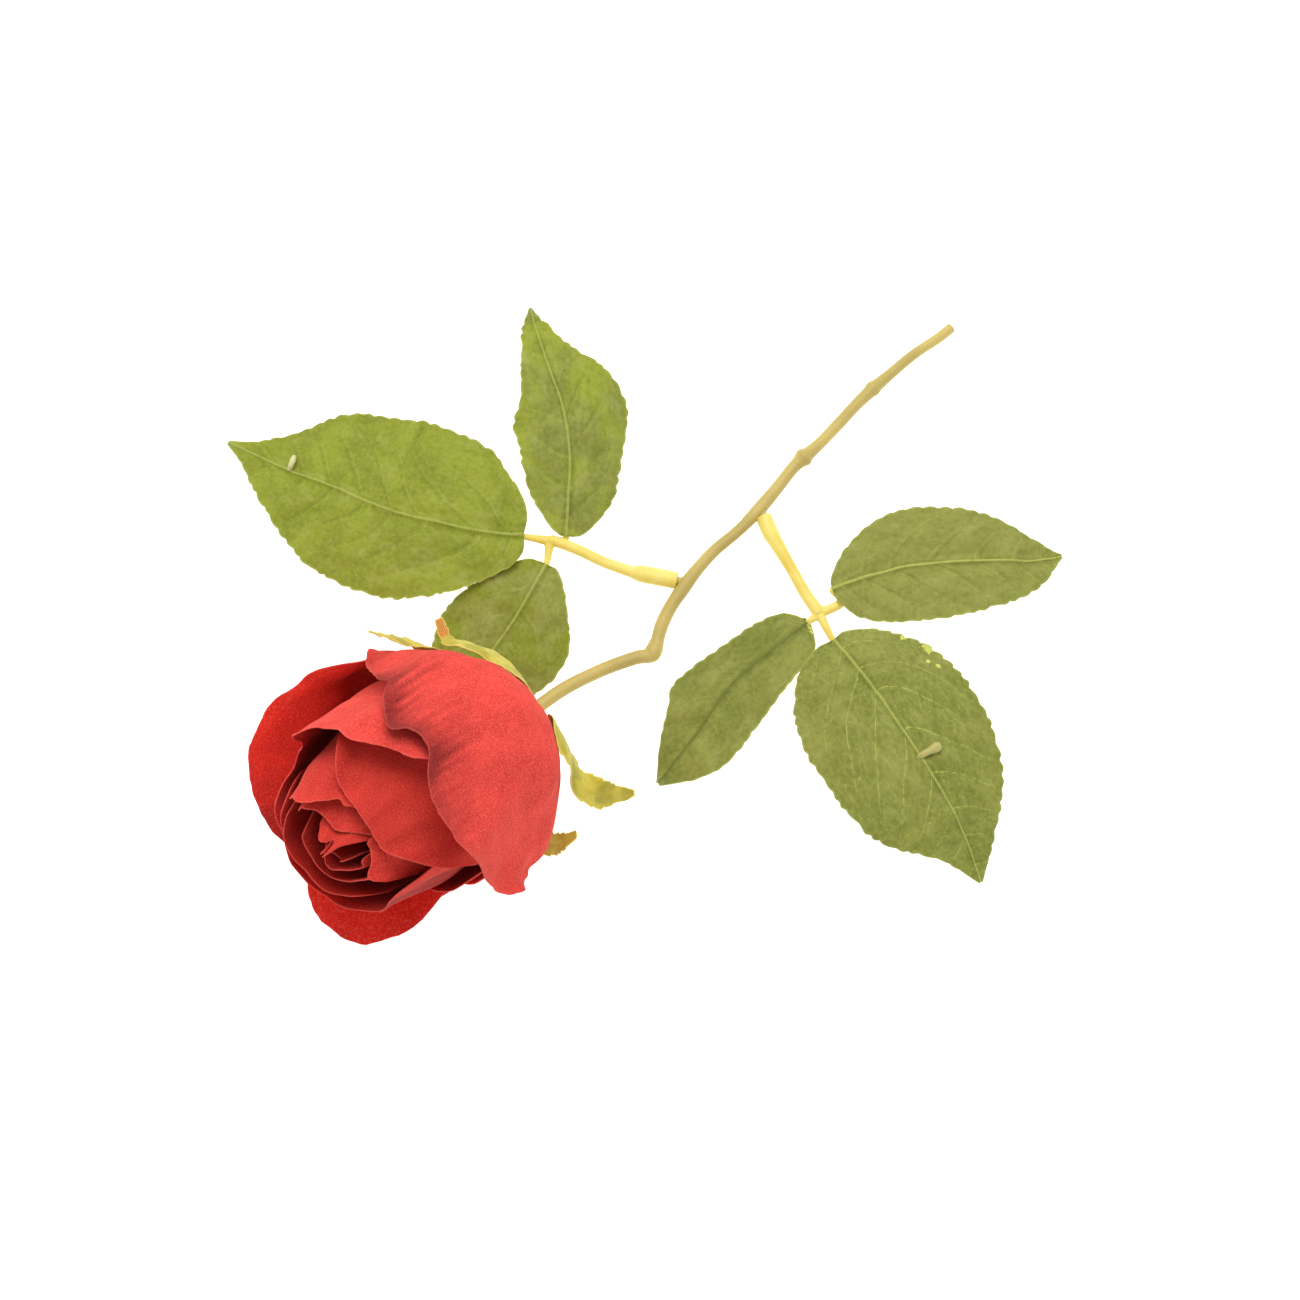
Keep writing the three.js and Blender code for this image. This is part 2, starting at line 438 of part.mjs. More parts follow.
function sepal(path) {
  const rows = [];
  for (let i = 0; i <= 12; i += 1) {
    const u = i / 12;
    const spot = (v) => {
      const angle = rad(blend(path, 1, v));
      const r = blend(path, 0, v);
      return new THREE.Vector3(r * Math.cos(angle), r * Math.sin(angle), blend(path, 2, v));
    };
    const middle = spot(u);
    const forward = spot(Math.min(u + 0.02, 1)).sub(spot(Math.max(u - 0.02, 0))).normalize();
    const outward = new THREE.Vector3(middle.x, middle.y, 0).normalize().add(new THREE.Vector3(0, 0, -1 + 1.1 * u));
    const across = forward.clone().cross(outward).normalize().multiplyScalar(blend(path, 3, u));
    rows.push([1, 0, -1].map((k) => middle.clone().addScaledVector(across, k)));
  }
  return sheet(rows, SEPAL_THICK);
}

function lathe(profile, segments) {
  const geometry = new THREE.LatheGeometry(profile.map((p) => new THREE.Vector2(p[0], p[1])), segments);
  geometry.rotateX(Math.PI / 2);
  return geometry;
}

// ---- assembly -----------------------------------------------------------------------------------
const rose = new THREE.Group();
rose.position.set(...ORIGIN);

const pegs = [PEG_LEFT, PEG_RIGHT].map((peg) => tube(peg.map((p) => [...p, PEG_R]), 8));
const bore = STEM.slice(2);
const stemSolid = joined([tube(STEM, 10), ...pegs]).subtract(solid(tube(
  [...bore, [77.0, 87.6, 1.1, 1]], 8, BORE_R)));
rose.add(piece('stem', shapeOf(stemSolid), paint(STEM_GREEN, 0.55)));
rose.add(piece('stem_wire', tube(STEM.slice(3), 6, WIRE_R), paint('#7d7a70', 0.4, 0.8)));

const sprigMaterial = () => paint(STALK_YELLOW, 0.5);
rose.add(piece('sprig_left', sprig(LEFT_STALK, [[7.5, 18.28, 8.12], [2.6, 19.25, 8.18]], [
  LEAFLETS.left_leaflet_tip, LEAFLETS.left_leaflet_upper, LEAFLETS.left_leaflet_lower,
], [-24.4, 28.7, 7.4]), sprigMaterial()));
rose.add(piece('sprig_right', sprig(RIGHT_STALK, [[27.17, 35.57, 9.38], [28.85, 31.38, 9.29]], [
  LEAFLETS.right_leaflet_tip, LEAFLETS.right_leaflet_upper, LEAFLETS.right_leaflet_lower,
], [41.0, 10.4, 7.3]), sprigMaterial()));
Object.entries(LEAFLETS).forEach(([name, leaf]) => {
  rose.add(piece(name, leaflet(leaf), paint(LEAF_GREEN, 0.75)));
});

const bloom = new THREE.Group();
const turn = rad(BLOOM_TURN);
const rise = rad(BLOOM_RISE);
const axis = new THREE.Vector3(-Math.cos(rise) * Math.cos(turn), -Math.cos(rise) * Math.sin(turn), Math.sin(rise));
const upper = new THREE.Vector3(Math.sin(rise) * Math.cos(turn), Math.sin(rise) * Math.sin(turn), Math.cos(rise));
bloom.position.set(...BLOOM_BASE);
bloom.quaternion.setFromRotationMatrix(new THREE.Matrix4().makeBasis(upper, axis.clone().cross(upper), axis));
rose.add(bloom);

const CUP = [[0, -8.6], [2.9, -8.6], [3.3, -7], [4.7, -4.2], [5.3, -2.8], [5.0, -2.0], [2.5, -2.0], [2.5, 29], [0, 29]];
const cupSolid = solid(lathe(CUP, 16)).subtract(solid(lathe([[0, -9.2], [2.1, -9.2], [2.1, -4.2], [0, -4.2]], 16)));
bloom.add(piece('calyx_cup', shapeOf(cupSolid), paint(SEPAL_GREEN, 0.5)));
const ring = lathe([[3, -1.3], [5.6, -1.3], [5.6, -0.7], [3, -0.7], [3, -1.3]], 20);
const star = joined([ring, ...SEPALS.map(sepal)]);
bloom.add(piece('calyx_star', shapeOf(star), paint(SEPAL_GREEN, 0.8)));
const CORE = [[0, 20], [5.2, 20], [6.4, 27], [6.2, 36], [4.6, 45], [2.6, 51], [0, 53]];
const coreSolid = solid(lathe(CORE, 14)).subtract(solid(lathe([[0, 19], [2.9, 19], [2.9, 30], [0, 30]], 14)));
bloom.add(piece('bud_core', shapeOf(coreSolid), paint('#e8e4d8', 0.9)));
Object.entries(PETALS).forEach(([name, shape]) => {
  bloom.add(piece(name, petal(shape), paint(PETAL_REDS[name.split('_')[1]], 0.85)));
});

export default rose;
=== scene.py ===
"""Artificial cut rose: cloth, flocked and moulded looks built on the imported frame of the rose.

Lengths in the shape tables are millimetres in the design frame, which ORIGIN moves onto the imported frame.
The bloom's tables use its own axis: an angle round it, a height along it and a radius out from it.
"""
import math

import bpy
import numpy as np
from bpy.props import FloatProperty, FloatVectorProperty, PointerProperty
from mathutils import Matrix, Vector


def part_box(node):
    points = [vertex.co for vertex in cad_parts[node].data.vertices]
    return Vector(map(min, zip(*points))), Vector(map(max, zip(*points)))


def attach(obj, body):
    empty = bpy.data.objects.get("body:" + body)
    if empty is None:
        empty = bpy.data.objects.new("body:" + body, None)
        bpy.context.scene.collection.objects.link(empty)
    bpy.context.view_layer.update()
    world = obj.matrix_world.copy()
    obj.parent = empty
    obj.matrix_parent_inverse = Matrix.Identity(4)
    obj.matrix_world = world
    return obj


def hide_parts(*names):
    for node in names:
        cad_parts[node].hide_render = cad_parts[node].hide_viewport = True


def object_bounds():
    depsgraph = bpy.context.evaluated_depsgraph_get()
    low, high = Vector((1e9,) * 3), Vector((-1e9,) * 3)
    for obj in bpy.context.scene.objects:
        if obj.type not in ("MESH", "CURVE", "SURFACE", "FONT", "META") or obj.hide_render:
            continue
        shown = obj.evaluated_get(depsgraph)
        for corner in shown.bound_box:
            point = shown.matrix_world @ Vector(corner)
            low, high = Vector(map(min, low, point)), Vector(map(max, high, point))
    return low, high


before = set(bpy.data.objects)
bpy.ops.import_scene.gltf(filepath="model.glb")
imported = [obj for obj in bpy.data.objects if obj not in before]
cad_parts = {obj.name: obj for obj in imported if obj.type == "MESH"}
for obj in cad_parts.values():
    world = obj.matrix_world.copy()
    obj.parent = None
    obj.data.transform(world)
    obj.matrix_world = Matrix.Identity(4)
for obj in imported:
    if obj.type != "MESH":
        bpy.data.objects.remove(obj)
CAD_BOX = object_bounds()

bl_info = {
    "name": "Artificial Cut Rose",
    "version": (1, 0, 0),
    "blender": (4, 5, 0),
    "location": "3D View > Sidebar > Rose",
    "description": "Builds a lying artificial rose from flocked petals, printed leaflets and moulded stems",
    "category": "Add Mesh",
}

MM = 0.001
BODY = "root"

# ---- shared design sizes, in millimetres ------------------------------------------------------------

ORIGIN = (2.1475, -8.8925, 0.014)
BLOOM_BASE = (-35.6, -23.2, 16.5)
BLOOM_TURN = 45.0
BLOOM_RISE = 38.0
PETAL_HUB = 3.2
PETAL_CLAW = 0.55
LEAF_DROOP = 2.2

# The cloth thins to this share at its cut edge, and shading breaks where faces meet at more than this many
# degrees. A piece may lie this many millimetres off its CAD node's box.
CUT_EDGE = 0.45
SHARP_ANGLE = 62
PLACE_SLACK = 6


# Stem centre line from inside the calyx cup to the cut end: x, y, z and the radius there.
STEM = [
    [-32.9, -20.5, 13.5, 1.5], [-30.3, -17.6, 10.6, 1.6], [-27.2, -13.6, 8.6, 1.65],
    [-20.0, -8.2, 8.0, 1.65], [-11.1, -3.6, 7.6, 1.65], [-3.6, -0.7, 7.2, 1.7], [-0.9, -0.2, 7.05, 1.8],
    [0.5, 0.5, 7.0, 2.15], [1.3, 2.2, 7.0, 2.0], [1.9, 4.2, 7.0, 1.65], [2.9, 7.7, 7.2, 1.7],
    [5.1, 12.2, 7.6, 1.65], [8.3, 17.0, 8.0, 1.8], [11.2, 20.9, 8.3, 1.6], [15.6, 25.8, 8.8, 1.5],
    [21.7, 31.0, 9.2, 1.45], [26.8, 36.5, 9.4, 1.7], [30.6, 41.1, 9.4, 1.6], [34.5, 46.3, 9.2, 1.55],
    [36.4, 48.4, 9.1, 1.75], [37.6, 49.6, 9.0, 2.35], [38.8, 50.7, 8.8, 1.75], [41.6, 53.4, 8.3, 1.5],
    [46.0, 58.4, 7.4, 1.5], [50.5, 63.8, 6.2, 1.5], [53.8, 67.4, 5.4, 1.65], [55.0, 68.7, 5.1, 2.0],
    [56.2, 69.8, 4.9, 1.65], [59.2, 72.6, 4.2, 1.4], [65.3, 78.3, 2.9, 1.3], [71.7, 83.1, 1.9, 1.3],
    [75.2, 86.1, 1.35, 1.3],
]

# Side pegs that carry the sprig sockets: foot inside the stem, free tip.
PEG_LEFT = [[8.9, 18.0, 8.1], [3.2, 19.13, 8.17]]
PEG_RIGHT = [[26.8, 36.5, 9.4], [28.66, 31.86, 9.3]]

# Sprig stalks from the socket to the joint: x, y, z and the radius there.
LEFT_STALK = [
    [6.6, 18.46, 8.13, 2.0], [5.4, 18.7, 8.15, 2.1], [-2.2, 20.2, 8.2, 2.1], [-4.5, 20.7, 8.2, 1.5],
    [-11.2, 23.2, 8.0, 1.35], [-17.0, 26.1, 7.8, 1.3], [-21.7, 28.1, 7.6, 1.3], [-24.4, 28.9, 7.5, 1.4],
]
RIGHT_STALK = [
    [27.6, 34.45, 9.37, 1.95], [27.95, 33.6, 9.35, 2.0], [29.3, 30.3, 9.25, 2.05], [30.6, 27.9, 9.1, 1.8],
    [34.2, 21.6, 8.5, 1.45], [37.8, 15.1, 7.8, 1.5], [41.0, 10.5, 7.3, 1.6],
]

# Where each sprig's ribs part, and the radius and depth of its socket.
LEFT_JOINT = [-24.4, 28.7, 7.4]
RIGHT_JOINT = [41.0, 10.4, 7.3]
SOCKET_BORE = (1.35, 3.6)

# Leaflets: rib points, and the two outlines as [fraction along the rib, half width].
LEAFLETS = {
    "left_leaflet_tip": {
        "rib": [
            [-30.7, 29.8, 8.8], [-40.6, 30.3, 10.6], [-57.8, 33.6, 12.3], [-67.2, 36.7, 12.2],
            [-78.1, 42.2, 10.0], [-88.6, 47.1, 6.8], [-104.4, 56.3, 0.8],
        ],
        "left": [
            [0, 1.2], [0, 4.2], [0.04, 7.6], [0.14, 11.4], [0.25, 18], [0.35, 21.2], [0.47, 21.2],
            [0.58, 20.4], [0.67, 18.6], [0.76, 15.6], [0.83, 11.7], [0.905, 6.7], [0.945, 3.4], [1, 0.5],
        ],
        "right": [
            [0, 1.2], [-0.01, 4], [0, 8], [0.04, 12.9], [0.1, 17], [0.19, 21.2], [0.29, 24], [0.43, 24.5],
            [0.55, 23.3], [0.67, 20.4], [0.77, 17], [0.83, 13.4], [0.9, 6.4], [0.945, 3], [1, 0.5],
        ],
    },
    "left_leaflet_upper": {
        "rib": [
            [-20.4, 29.6, 8.6], [-19.9, 39.6, 10.2], [-19.6, 49.6, 11.2], [-21.3, 61.6, 11.2],
            [-24.9, 72.7, 9.8], [-28.4, 84.0, 7.8], [-29.7, 89.2, 7.0],
        ],
        "left": [
            [0, 1.2], [0.02, 3.4], [0.09, 6.4], [0.175, 9.6], [0.27, 11.3], [0.37, 12], [0.46, 12.9],
            [0.53, 11.2], [0.61, 8.6], [0.74, 5.4], [0.84, 3.3], [0.93, 1.6], [1, 0.5],
        ],
        "right": [
            [0, 1.2], [0, 3.4], [0.04, 6.4], [0.12, 9.8], [0.18, 11.4], [0.27, 12], [0.345, 13.2],
            [0.45, 15.3], [0.51, 14.8], [0.56, 13.6], [0.63, 11.2], [0.7, 7.8], [0.76, 5], [0.85, 2.5],
            [0.93, 1.3], [1, 0.5],
        ],
    },
    "left_leaflet_lower": {
        "rib": [
            [-25.3, 22.7, 8.2], [-29.8, 14.4, 7.8], [-33.7, 7.8, 6.8], [-38.4, 1.2, 5.6],
            [-43.0, -7.0, 4.2], [-47.2, -14.7, 2.8], [-50.4, -20.6, 1.7],
        ],
        "left": [
            [0, 1.2], [0, 3], [0.05, 6.4], [0.17, 11.6], [0.3, 15.5], [0.45, 16], [0.58, 14], [0.72, 9.8],
            [0.87, 4.6], [1, 0.5],
        ],
        "right": [
            [0, 1.2], [0.02, 5.0], [0.11, 9.8], [0.26, 13.6], [0.4, 15.2], [0.52, 14.9], [0.64, 12.0],
            [0.76, 8.2], [0.88, 4.2], [1, 0.5],
        ],
    },
    "right_leaflet_tip": {
        "rib": [
            [44.3, 3.4, 9.4], [49.6, -3.8, 11.3], [55.3, -11.9, 12.2], [64.6, -26.5, 12.4],
            [71.9, -37.9, 8.6], [76.0, -46.0, 4.6], [79.3, -54.5, 0.8],
        ],
        "left": [
            [0, 1.2], [0, 3.4], [0.06, 8.4], [0.17, 13.4], [0.28, 17.3], [0.38, 19.3], [0.5, 19.2],
            [0.62, 16.4], [0.74, 11.2], [0.87, 5.6], [1, 0.5],
        ],
        "right": [
            [0, 1.2], [-0.01, 4.8], [0.03, 11.4], [0.1, 15.6], [0.21, 19.8], [0.34, 22], [0.47, 22.3],
            [0.58, 20.8], [0.69, 16.8], [0.81, 10.2], [0.9, 5.3], [1, 0.5],
        ],
    },
    "right_leaflet_upper": {
        "rib": [
            [44.1, 16.1, 9.8], [51.3, 18.4, 10.8], [62.7, 21.1, 11.8], [79.2, 22.8, 11.0],
            [92.3, 23.4, 8.4], [100.3, 24.8, 7.0],
        ],
        "left": [
            [0, 1.2], [0.02, 2.8], [0.09, 5.6], [0.18, 8.8], [0.3, 12.3], [0.42, 14.4], [0.55, 13.6],
            [0.68, 10.4], [0.81, 6.4], [0.92, 2.9], [1, 0.5],
        ],
        "right": [
            [0, 1.2], [0.01, 3.6], [0.08, 7.8], [0.2, 11.2], [0.34, 13.4], [0.48, 13.7], [0.6, 12.4],
            [0.74, 9.6], [0.85, 6.0], [0.93, 2.9], [1, 0.5],
        ],
    },
    "right_leaflet_lower": {
        "rib": [
            [38.2, 8.2, 8.4], [34.2, 5.0, 7.9], [24.6, -2.8, 7.8], [17.8, -9.4, 7.2], [13.1, -16.5, 5.8],
            [7.2, -23.9, 3.6], [1.9, -30.5, 2.0],
        ],
        "left": [
            [0, 1.2], [0.02, 2.8], [0.1, 5.9], [0.27, 9.2], [0.46, 11.4], [0.62, 11.0], [0.78, 10.0],
            [0.88, 6.6], [1, 0.5],
        ],
        "right": [
            [0, 1.2], [0.02, 2], [0.12, 5.2], [0.24, 7.4], [0.38, 8.3], [0.5, 9.8], [0.61, 11.3],
            [0.73, 8.8], [0.86, 5.2], [1, 0.5],
        ],
    },
}

# Sepals of the calyx star in the bloom frame: radius, angle, height, half width.
SEPALS = [
    [
        [4.4, 5, -1, 2.4], [12, 2, -0.7, 4.4], [19, 1, 1.7, 4.6], [24.6, 10, 5.0, 4.2],
        [27.2, 26, 7.0, 3.6], [28.4, 40, 8.4, 2.6], [29.4, 48, 8.8, 1.5], [33.5, 54, 6.0, 1.0],
    ],
    [
        [4.4, 80, -1, 2.4], [14, 78, -0.4, 4.2], [22, 74, 3.2, 4.6], [28.6, 64, 8.6, 3.0],
        [32.8, 62, 15.5, 1.9], [36.4, 57.5, 22.5, 1.1], [40, 52.5, 30.5, 0.35],
    ],
    [
        [4.4, -55, -1, 2.4], [12, -45, -0.6, 4.2], [20, -33, 2.4, 4.4], [25.8, -33, 7.0, 4.2],
        [27.6, -43, 8.6, 4.0], [28.6, -54, 8.4, 3.7], [30.6, -61, 6.2, 3.6], [33.6, -65, 2.2, 3.2],
        [37.2, -64, -2.2, 0.7],
    ],
    [
        [4.4, -128, -1, 2.4], [13, -126, -0.5, 4.2], [20, -120, 2.4, 4.0], [24.6, -110, 5.6, 3.4],
        [27.6, -98, 8.6, 2.8], [29.6, -88.5, 9.8, 2.0], [31.0, -81.5, 9.4, 1.1],
    ],
    [
        [4.4, 155, -1, 2.4], [12, 152, -0.9, 4.2], [19, 146, 0.4, 4.0], [26, 138, 2.9, 3.5],
        [32.2, 131, 7.4, 2.6], [36.4, 126, 12.4, 0.8],
    ],
]

# Petals in the bloom frame. Each leaves the hub at height start, swells to the belly radius at height full
# and changes to the mouth radius at height top. rim is the edge's height. Every list is [angle, value].
PETALS = {
    "petal_outer_1": {
        "start": 0, "full": 24, "top": 55,
        "rim": [
            [-86, 29], [-82, 34], [-78, 38.5], [-73, 44.5], [-66, 51.5], [-55, 57], [-40, 59.5],
            [-22, 58.5], [-10, 55], [-3, 50.5], [9, 50.5], [15, 52.5], [22, 49.5], [31, 44], [36, 38.5],
            [42, 38.5], [55, 33], [66, 26], [76, 18],
        ],
        "belly": [
            [-90, 30], [-80, 29.2], [-60, 28.4], [-30, 31.6], [0, 32.8], [25, 31.8], [45, 30.8], [60, 31.7],
            [78, 34],
        ],
        "mouth": [
            [-90, 68], [-84, 64], [-79, 61], [-73, 45], [-66, 37], [-48, 34.5], [-30, 31], [-10, 30.5],
            [10, 30], [30, 29.5], [45, 32], [60, 36], [78, 46],
        ],
    },
    "petal_outer_2": {
        "start": 1.3, "full": 22, "top": 45,
        "rim": [
            [52, 16], [60, 21.5], [68, 25.5], [76, 30.5], [84, 33], [90, 35], [95, 39], [101, 43],
            [108, 45.5], [118, 46.5], [135, 45.5], [148, 44], [158, 40], [168, 32],
        ],
        "belly": [[56, 29.4], [70, 31.8], [85, 33], [100, 32], [130, 31], [174, 28.8]],
        "mouth": [
            [50, 40], [60, 48], [68, 56], [76, 56], [86, 53], [94, 46], [102, 40], [112, 38], [135, 37.6],
            [155, 37.5], [174, 36],
        ],
    },
    "petal_outer_3": {
        "start": 3.9, "full": 16, "top": 45,
        "rim": [
            [144, 24], [150, 31], [158, 38], [166, 42.8], [178, 45.4], [190, 45.2], [199, 43.6],
            [206, 40.6], [212, 36.6], [216, 31.8], [219, 25],
        ],
        "belly": [[140, 25.4], [160, 25.4], [190, 25.2], [220, 22.8]],
        "mouth": [[140, 34.8], [160, 35.4], [178, 38.2], [196, 38.8], [206, 40], [214, 44], [220, 47]],
    },
    "petal_outer_4": {
        "start": 2.6, "full": 16, "top": 50,
        "rim": [[-148, 17], [-138, 23], [-122, 27], [-106, 27], [-96, 23], [-90, 17]],
        "belly": [[-150, 25.8], [-120, 24.8], [-86, 23.6]],
        "mouth": [[-150, 32], [-110, 29], [-86, 29]],
    },
    "petal_outer_5": {
        "start": 0, "full": 16, "top": 45,
        "rim": [
            [114, 16], [122, 24], [132, 29], [145, 33], [165, 34], [185, 33], [198, 31], [208, 29],
            [215, 26], [219, 20],
        ],
        "belly": [[112, 34], [145, 32.2], [180, 30.1], [205, 28.5], [220, 27.4]],
        "mouth": [[112, 44], [160, 43], [190, 42], [220, 41]],
    },
    "petal_middle_1": {
        "start": 5.2, "full": 27, "top": 60,
        "rim": [
            [-14, 42], [-8, 48.5], [-2, 52], [8, 54.2], [18, 57], [30, 58.4], [41, 55.8], [53, 56.4],
            [63, 58], [71, 56], [77, 52], [84, 50.5], [92, 50], [99, 51], [106, 53.5], [114, 58],
            [124, 58.5], [134, 56], [142, 50], [148, 42],
        ],
        "belly": [[-16, 29.2], [30, 28.4], [60, 27], [100, 26.8], [152, 24.6]],
        "mouth": [
            [-16, 27], [0, 26.5], [30, 26.8], [45, 26.3], [55, 26.2], [63, 26.6], [70, 26.4], [76, 23.5],
            [82, 21], [90, 19.6], [98, 19], [106, 19.6], [115, 19.6], [130, 19.6], [152, 21],
        ],
    },
    "petal_middle_2": {
        "start": 6.5, "full": 28, "top": 60,
        "rim": [
            [-94, 24], [-87, 30], [-80, 37], [-72, 45], [-64, 53], [-56, 58.5], [-46, 61], [-17, 61],
            [10, 60.5], [25, 60.5], [36, 60], [43, 56], [50, 49], [56, 41],
        ],
        "belly": [[-98, 21], [-60, 24.6], [-20, 26.5], [62, 24.8]],
        "mouth": [
            [-98, 24], [-75, 22], [-62, 19.8], [-50, 15.8], [-40, 13.3], [-17, 12.2], [10, 12.3],
            [22, 13.8], [34, 17], [45, 21.2], [62, 23],
        ],
    },
    "petal_middle_3": {
        "start": 5.2, "full": 24, "top": 60,
        "rim": [[-168, 20], [-158, 28], [-140, 35], [-122, 37], [-108, 35], [-98, 29], [-92, 22]],
        "belly": [[-172, 23], [-150, 22.7], [-120, 22.8], [-88, 23]],
        "mouth": [[-172, 21], [-150, 20], [-120, 21], [-88, 24]],
    },
    "petal_middle_4": {
        "start": 7.8, "full": 26, "top": 60,
        "rim": [
            [104, 48], [108, 55], [114, 60], [130, 60], [147, 60.2], [162, 59.7], [178, 59.3], [190, 57.8],
            [204, 57], [219, 56], [232, 56], [250, 58], [266, 60], [276, 58], [284, 51],
        ],
        "belly": [[100, 24.6], [130, 23.4], [190, 21.2], [240, 20], [262, 19.2], [290, 18.8]],
        "mouth": [
            [100, 18.2], [130, 18], [178, 18], [204, 18.2], [219, 18], [232, 17], [255, 16], [275, 15.8],
            [290, 16.2],
        ],
    },
    "petal_inner_1": {
        "start": 9.1, "full": 28, "top": 60,
        "rim": [
            [-28, 52], [-22, 59], [-14, 60], [14, 59.6], [24, 61], [31, 61], [41, 63], [50, 64], [60, 65],
            [72, 65], [84, 62], [95, 60], [103, 52],
        ],
        "belly": [[-30, 24.1], [60, 23.2], [106, 22]],
        "mouth": [
            [-30, 10.9], [-14, 10.2], [6, 10.1], [14, 10.7], [24, 12], [41, 14.2], [60, 15.4], [72, 16.2],
            [90, 16.6], [106, 16.6],
        ],
    },
    "petal_inner_2": {
        "start": 10.4, "full": 28, "top": 60,
        "rim": [[-91, 50], [-87, 57], [-82, 63], [-76, 63.5], [-65, 62], [-45, 61], [-31, 60.5], [-22, 56]],
        "belly": [[-95, 16.4], [-60, 19], [-20, 21.6]],
        "mouth": [[-95, 13.6], [-80, 12], [-65, 10.4], [-31, 8.9], [-20, 8.6]],
    },
    "petal_inner_3": {
        "start": 10.4, "full": 28, "top": 60,
        "rim": [
            [97, 50], [104, 58], [116, 61], [128, 62], [145, 62], [164, 61], [185, 60.8], [202, 59.6],
            [218, 57.5], [230, 50],
        ],
        "belly": [[94, 20.6], [164, 19.8], [235, 17.6]],
        "mouth": [
            [94, 15], [116, 16.2], [140, 15.6], [164, 15], [185, 14.3], [202, 14], [218, 13.2], [235, 12.8],
        ],
    },
    "petal_inner_4": {
        "start": 11.7, "full": 29, "top": 60,
        "rim": [
            [-42, 50], [-37, 55], [-30, 58], [-14, 60], [0, 61], [20, 62], [40, 62.4], [55, 62.4],
            [66, 62.4], [78, 62.5], [88, 61.5], [97, 60.5], [103, 52],
        ],
        "belly": [[-45, 17.6], [60, 19], [106, 18.2]],
        "mouth": [
            [-45, 7.2], [-30, 6.9], [0, 6.4], [20, 6.4], [40, 7.4], [55, 9.4], [66, 11.4], [78, 12.6],
            [92, 13.4], [106, 13.4],
        ],
    },
    "petal_inner_5": {
        "start": 13, "full": 29, "top": 60,
        "rim": [
            [101, 54], [108, 62], [131, 62], [165, 61], [188, 60.6], [217, 60], [240, 59.5], [270, 60],
            [296, 60], [308, 54],
        ],
        "belly": [[98, 16.2], [180, 16.4], [250, 14.2], [311, 14]],
        "mouth": [[98, 10.6], [131, 10.2], [188, 10], [217, 9.4], [240, 8.9], [270, 8.6], [311, 8.8]],
    },
    "petal_heart_1": {
        "start": 14.3, "full": 30, "top": 60,
        "rim": [
            [-42, 54], [-34, 59], [-24, 62], [-14, 64], [-4, 67], [4, 67.6], [10, 66.8], [17, 64.5],
            [25, 63.5], [34, 63.6], [45, 65], [58, 66.2], [66, 65.5], [74, 63], [86, 60.5], [104, 58],
            [120, 54],
        ],
        "belly": [[-44, 12.6], [126, 13]],
        "mouth": [[-44, 5], [-10, 5.1], [10, 4.9], [35, 5.1], [60, 6.6], [80, 7], [104, 6.8], [126, 7]],
    },
    "petal_heart_2": {
        "start": 15.6, "full": 30, "top": 60,
        "rim": [
            [106, 54], [116, 58], [140, 60], [170, 62], [200, 63], [230, 61], [255, 59], [275, 60],
            [290, 58], [306, 52],
        ],
        "belly": [[100, 10.6], [310, 11]],
        "mouth": [[100, 5.1], [170, 6], [230, 5.8], [280, 5.6], [310, 5.6]],
    },
    "petal_heart_3": {
        "start": 16.9, "full": 30, "top": 60,
        "rim": [
            [-56, 50], [-40, 58], [0, 61], [60, 63], [120, 66], [150, 62], [190, 60], [230, 62], [262, 58],
            [280, 50],
        ],
        "belly": [[-60, 8], [284, 8]],
        "mouth": [[-60, 3.1], [60, 3.1], [150, 3.3], [284, 3.1]],
    },
}

# ---- curves, sheets and tubes -----------------------------------------------------------------------

def curve_at(points, x):
    """Smooth curve through [place, value] points, read at every x; past the ends it keeps the end values."""
    place, value = (np.array(column, float) for column in zip(*points))
    slope = np.gradient(value)
    slope[1:-1] = (value[2:] - value[:-2]) / (place[2:] - place[:-2])
    slope[0] = (value[1] - value[0]) / (place[1] - place[0])
    slope[-1] = (value[-1] - value[-2]) / (place[-1] - place[-2])
    x = np.clip(np.asarray(x, float), place[0], place[-1])
    i = np.clip(np.searchsorted(place, x, side="right") - 1, 0, len(place) - 2)
    d = place[i + 1] - place[i]
    t = (x - place[i]) / d
    return ((2 * t**3 - 3 * t**2 + 1) * value[i] + (t**3 - 2 * t**2 + t) * slope[i] * d
            + (3 * t**2 - 2 * t**3) * value[i + 1] + (t**3 - t**2) * slope[i + 1] * d)


def column_at(points, k, u):
    """Column k of a list of points at fraction u of the list."""
    last = len(points) - 1
    return curve_at([[i / last, p[k]] for i, p in enumerate(points)], u)


def ripples(x, y, size, seed):
    """Smooth, even unevenness from about -1 to 1, with bumps about size wide."""
    rng = np.random.RandomState(seed)
    total = 0.0
    for _ in range(7):
        turn = rng.uniform(0, 2 * math.pi)
        pace = 2 * math.pi / (size * rng.uniform(0.75, 1.7))
        total = total + np.sin(pace * (x * math.cos(turn) + y * math.sin(turn)) + rng.uniform(0, 2 * math.pi))
    return total / 3.2


def smooth(x, low, high):
    """Smooth step from 0 at low to 1 at high."""
    t = np.clip((x - low) / (high - low), 0, 1)
    return t * t * (3 - 2 * t)


def normals_of(points):
    """Unit normals of a grid of points, across its first axis times its second."""
    n = np.cross(np.gradient(points, axis=0), np.gradient(points, axis=1))
    return n / np.maximum(np.linalg.norm(n, axis=-1, keepdims=True), 1e-12)


def lengths_along(points, axis):
    """Distance along a grid of points from its first line, in the points' unit."""
    step = np.linalg.norm(np.diff(points, axis=axis), axis=-1)
    start = np.zeros_like(np.take(step, [0], axis=axis))
    return np.concatenate([start, np.cumsum(step, axis=axis)], axis=axis)


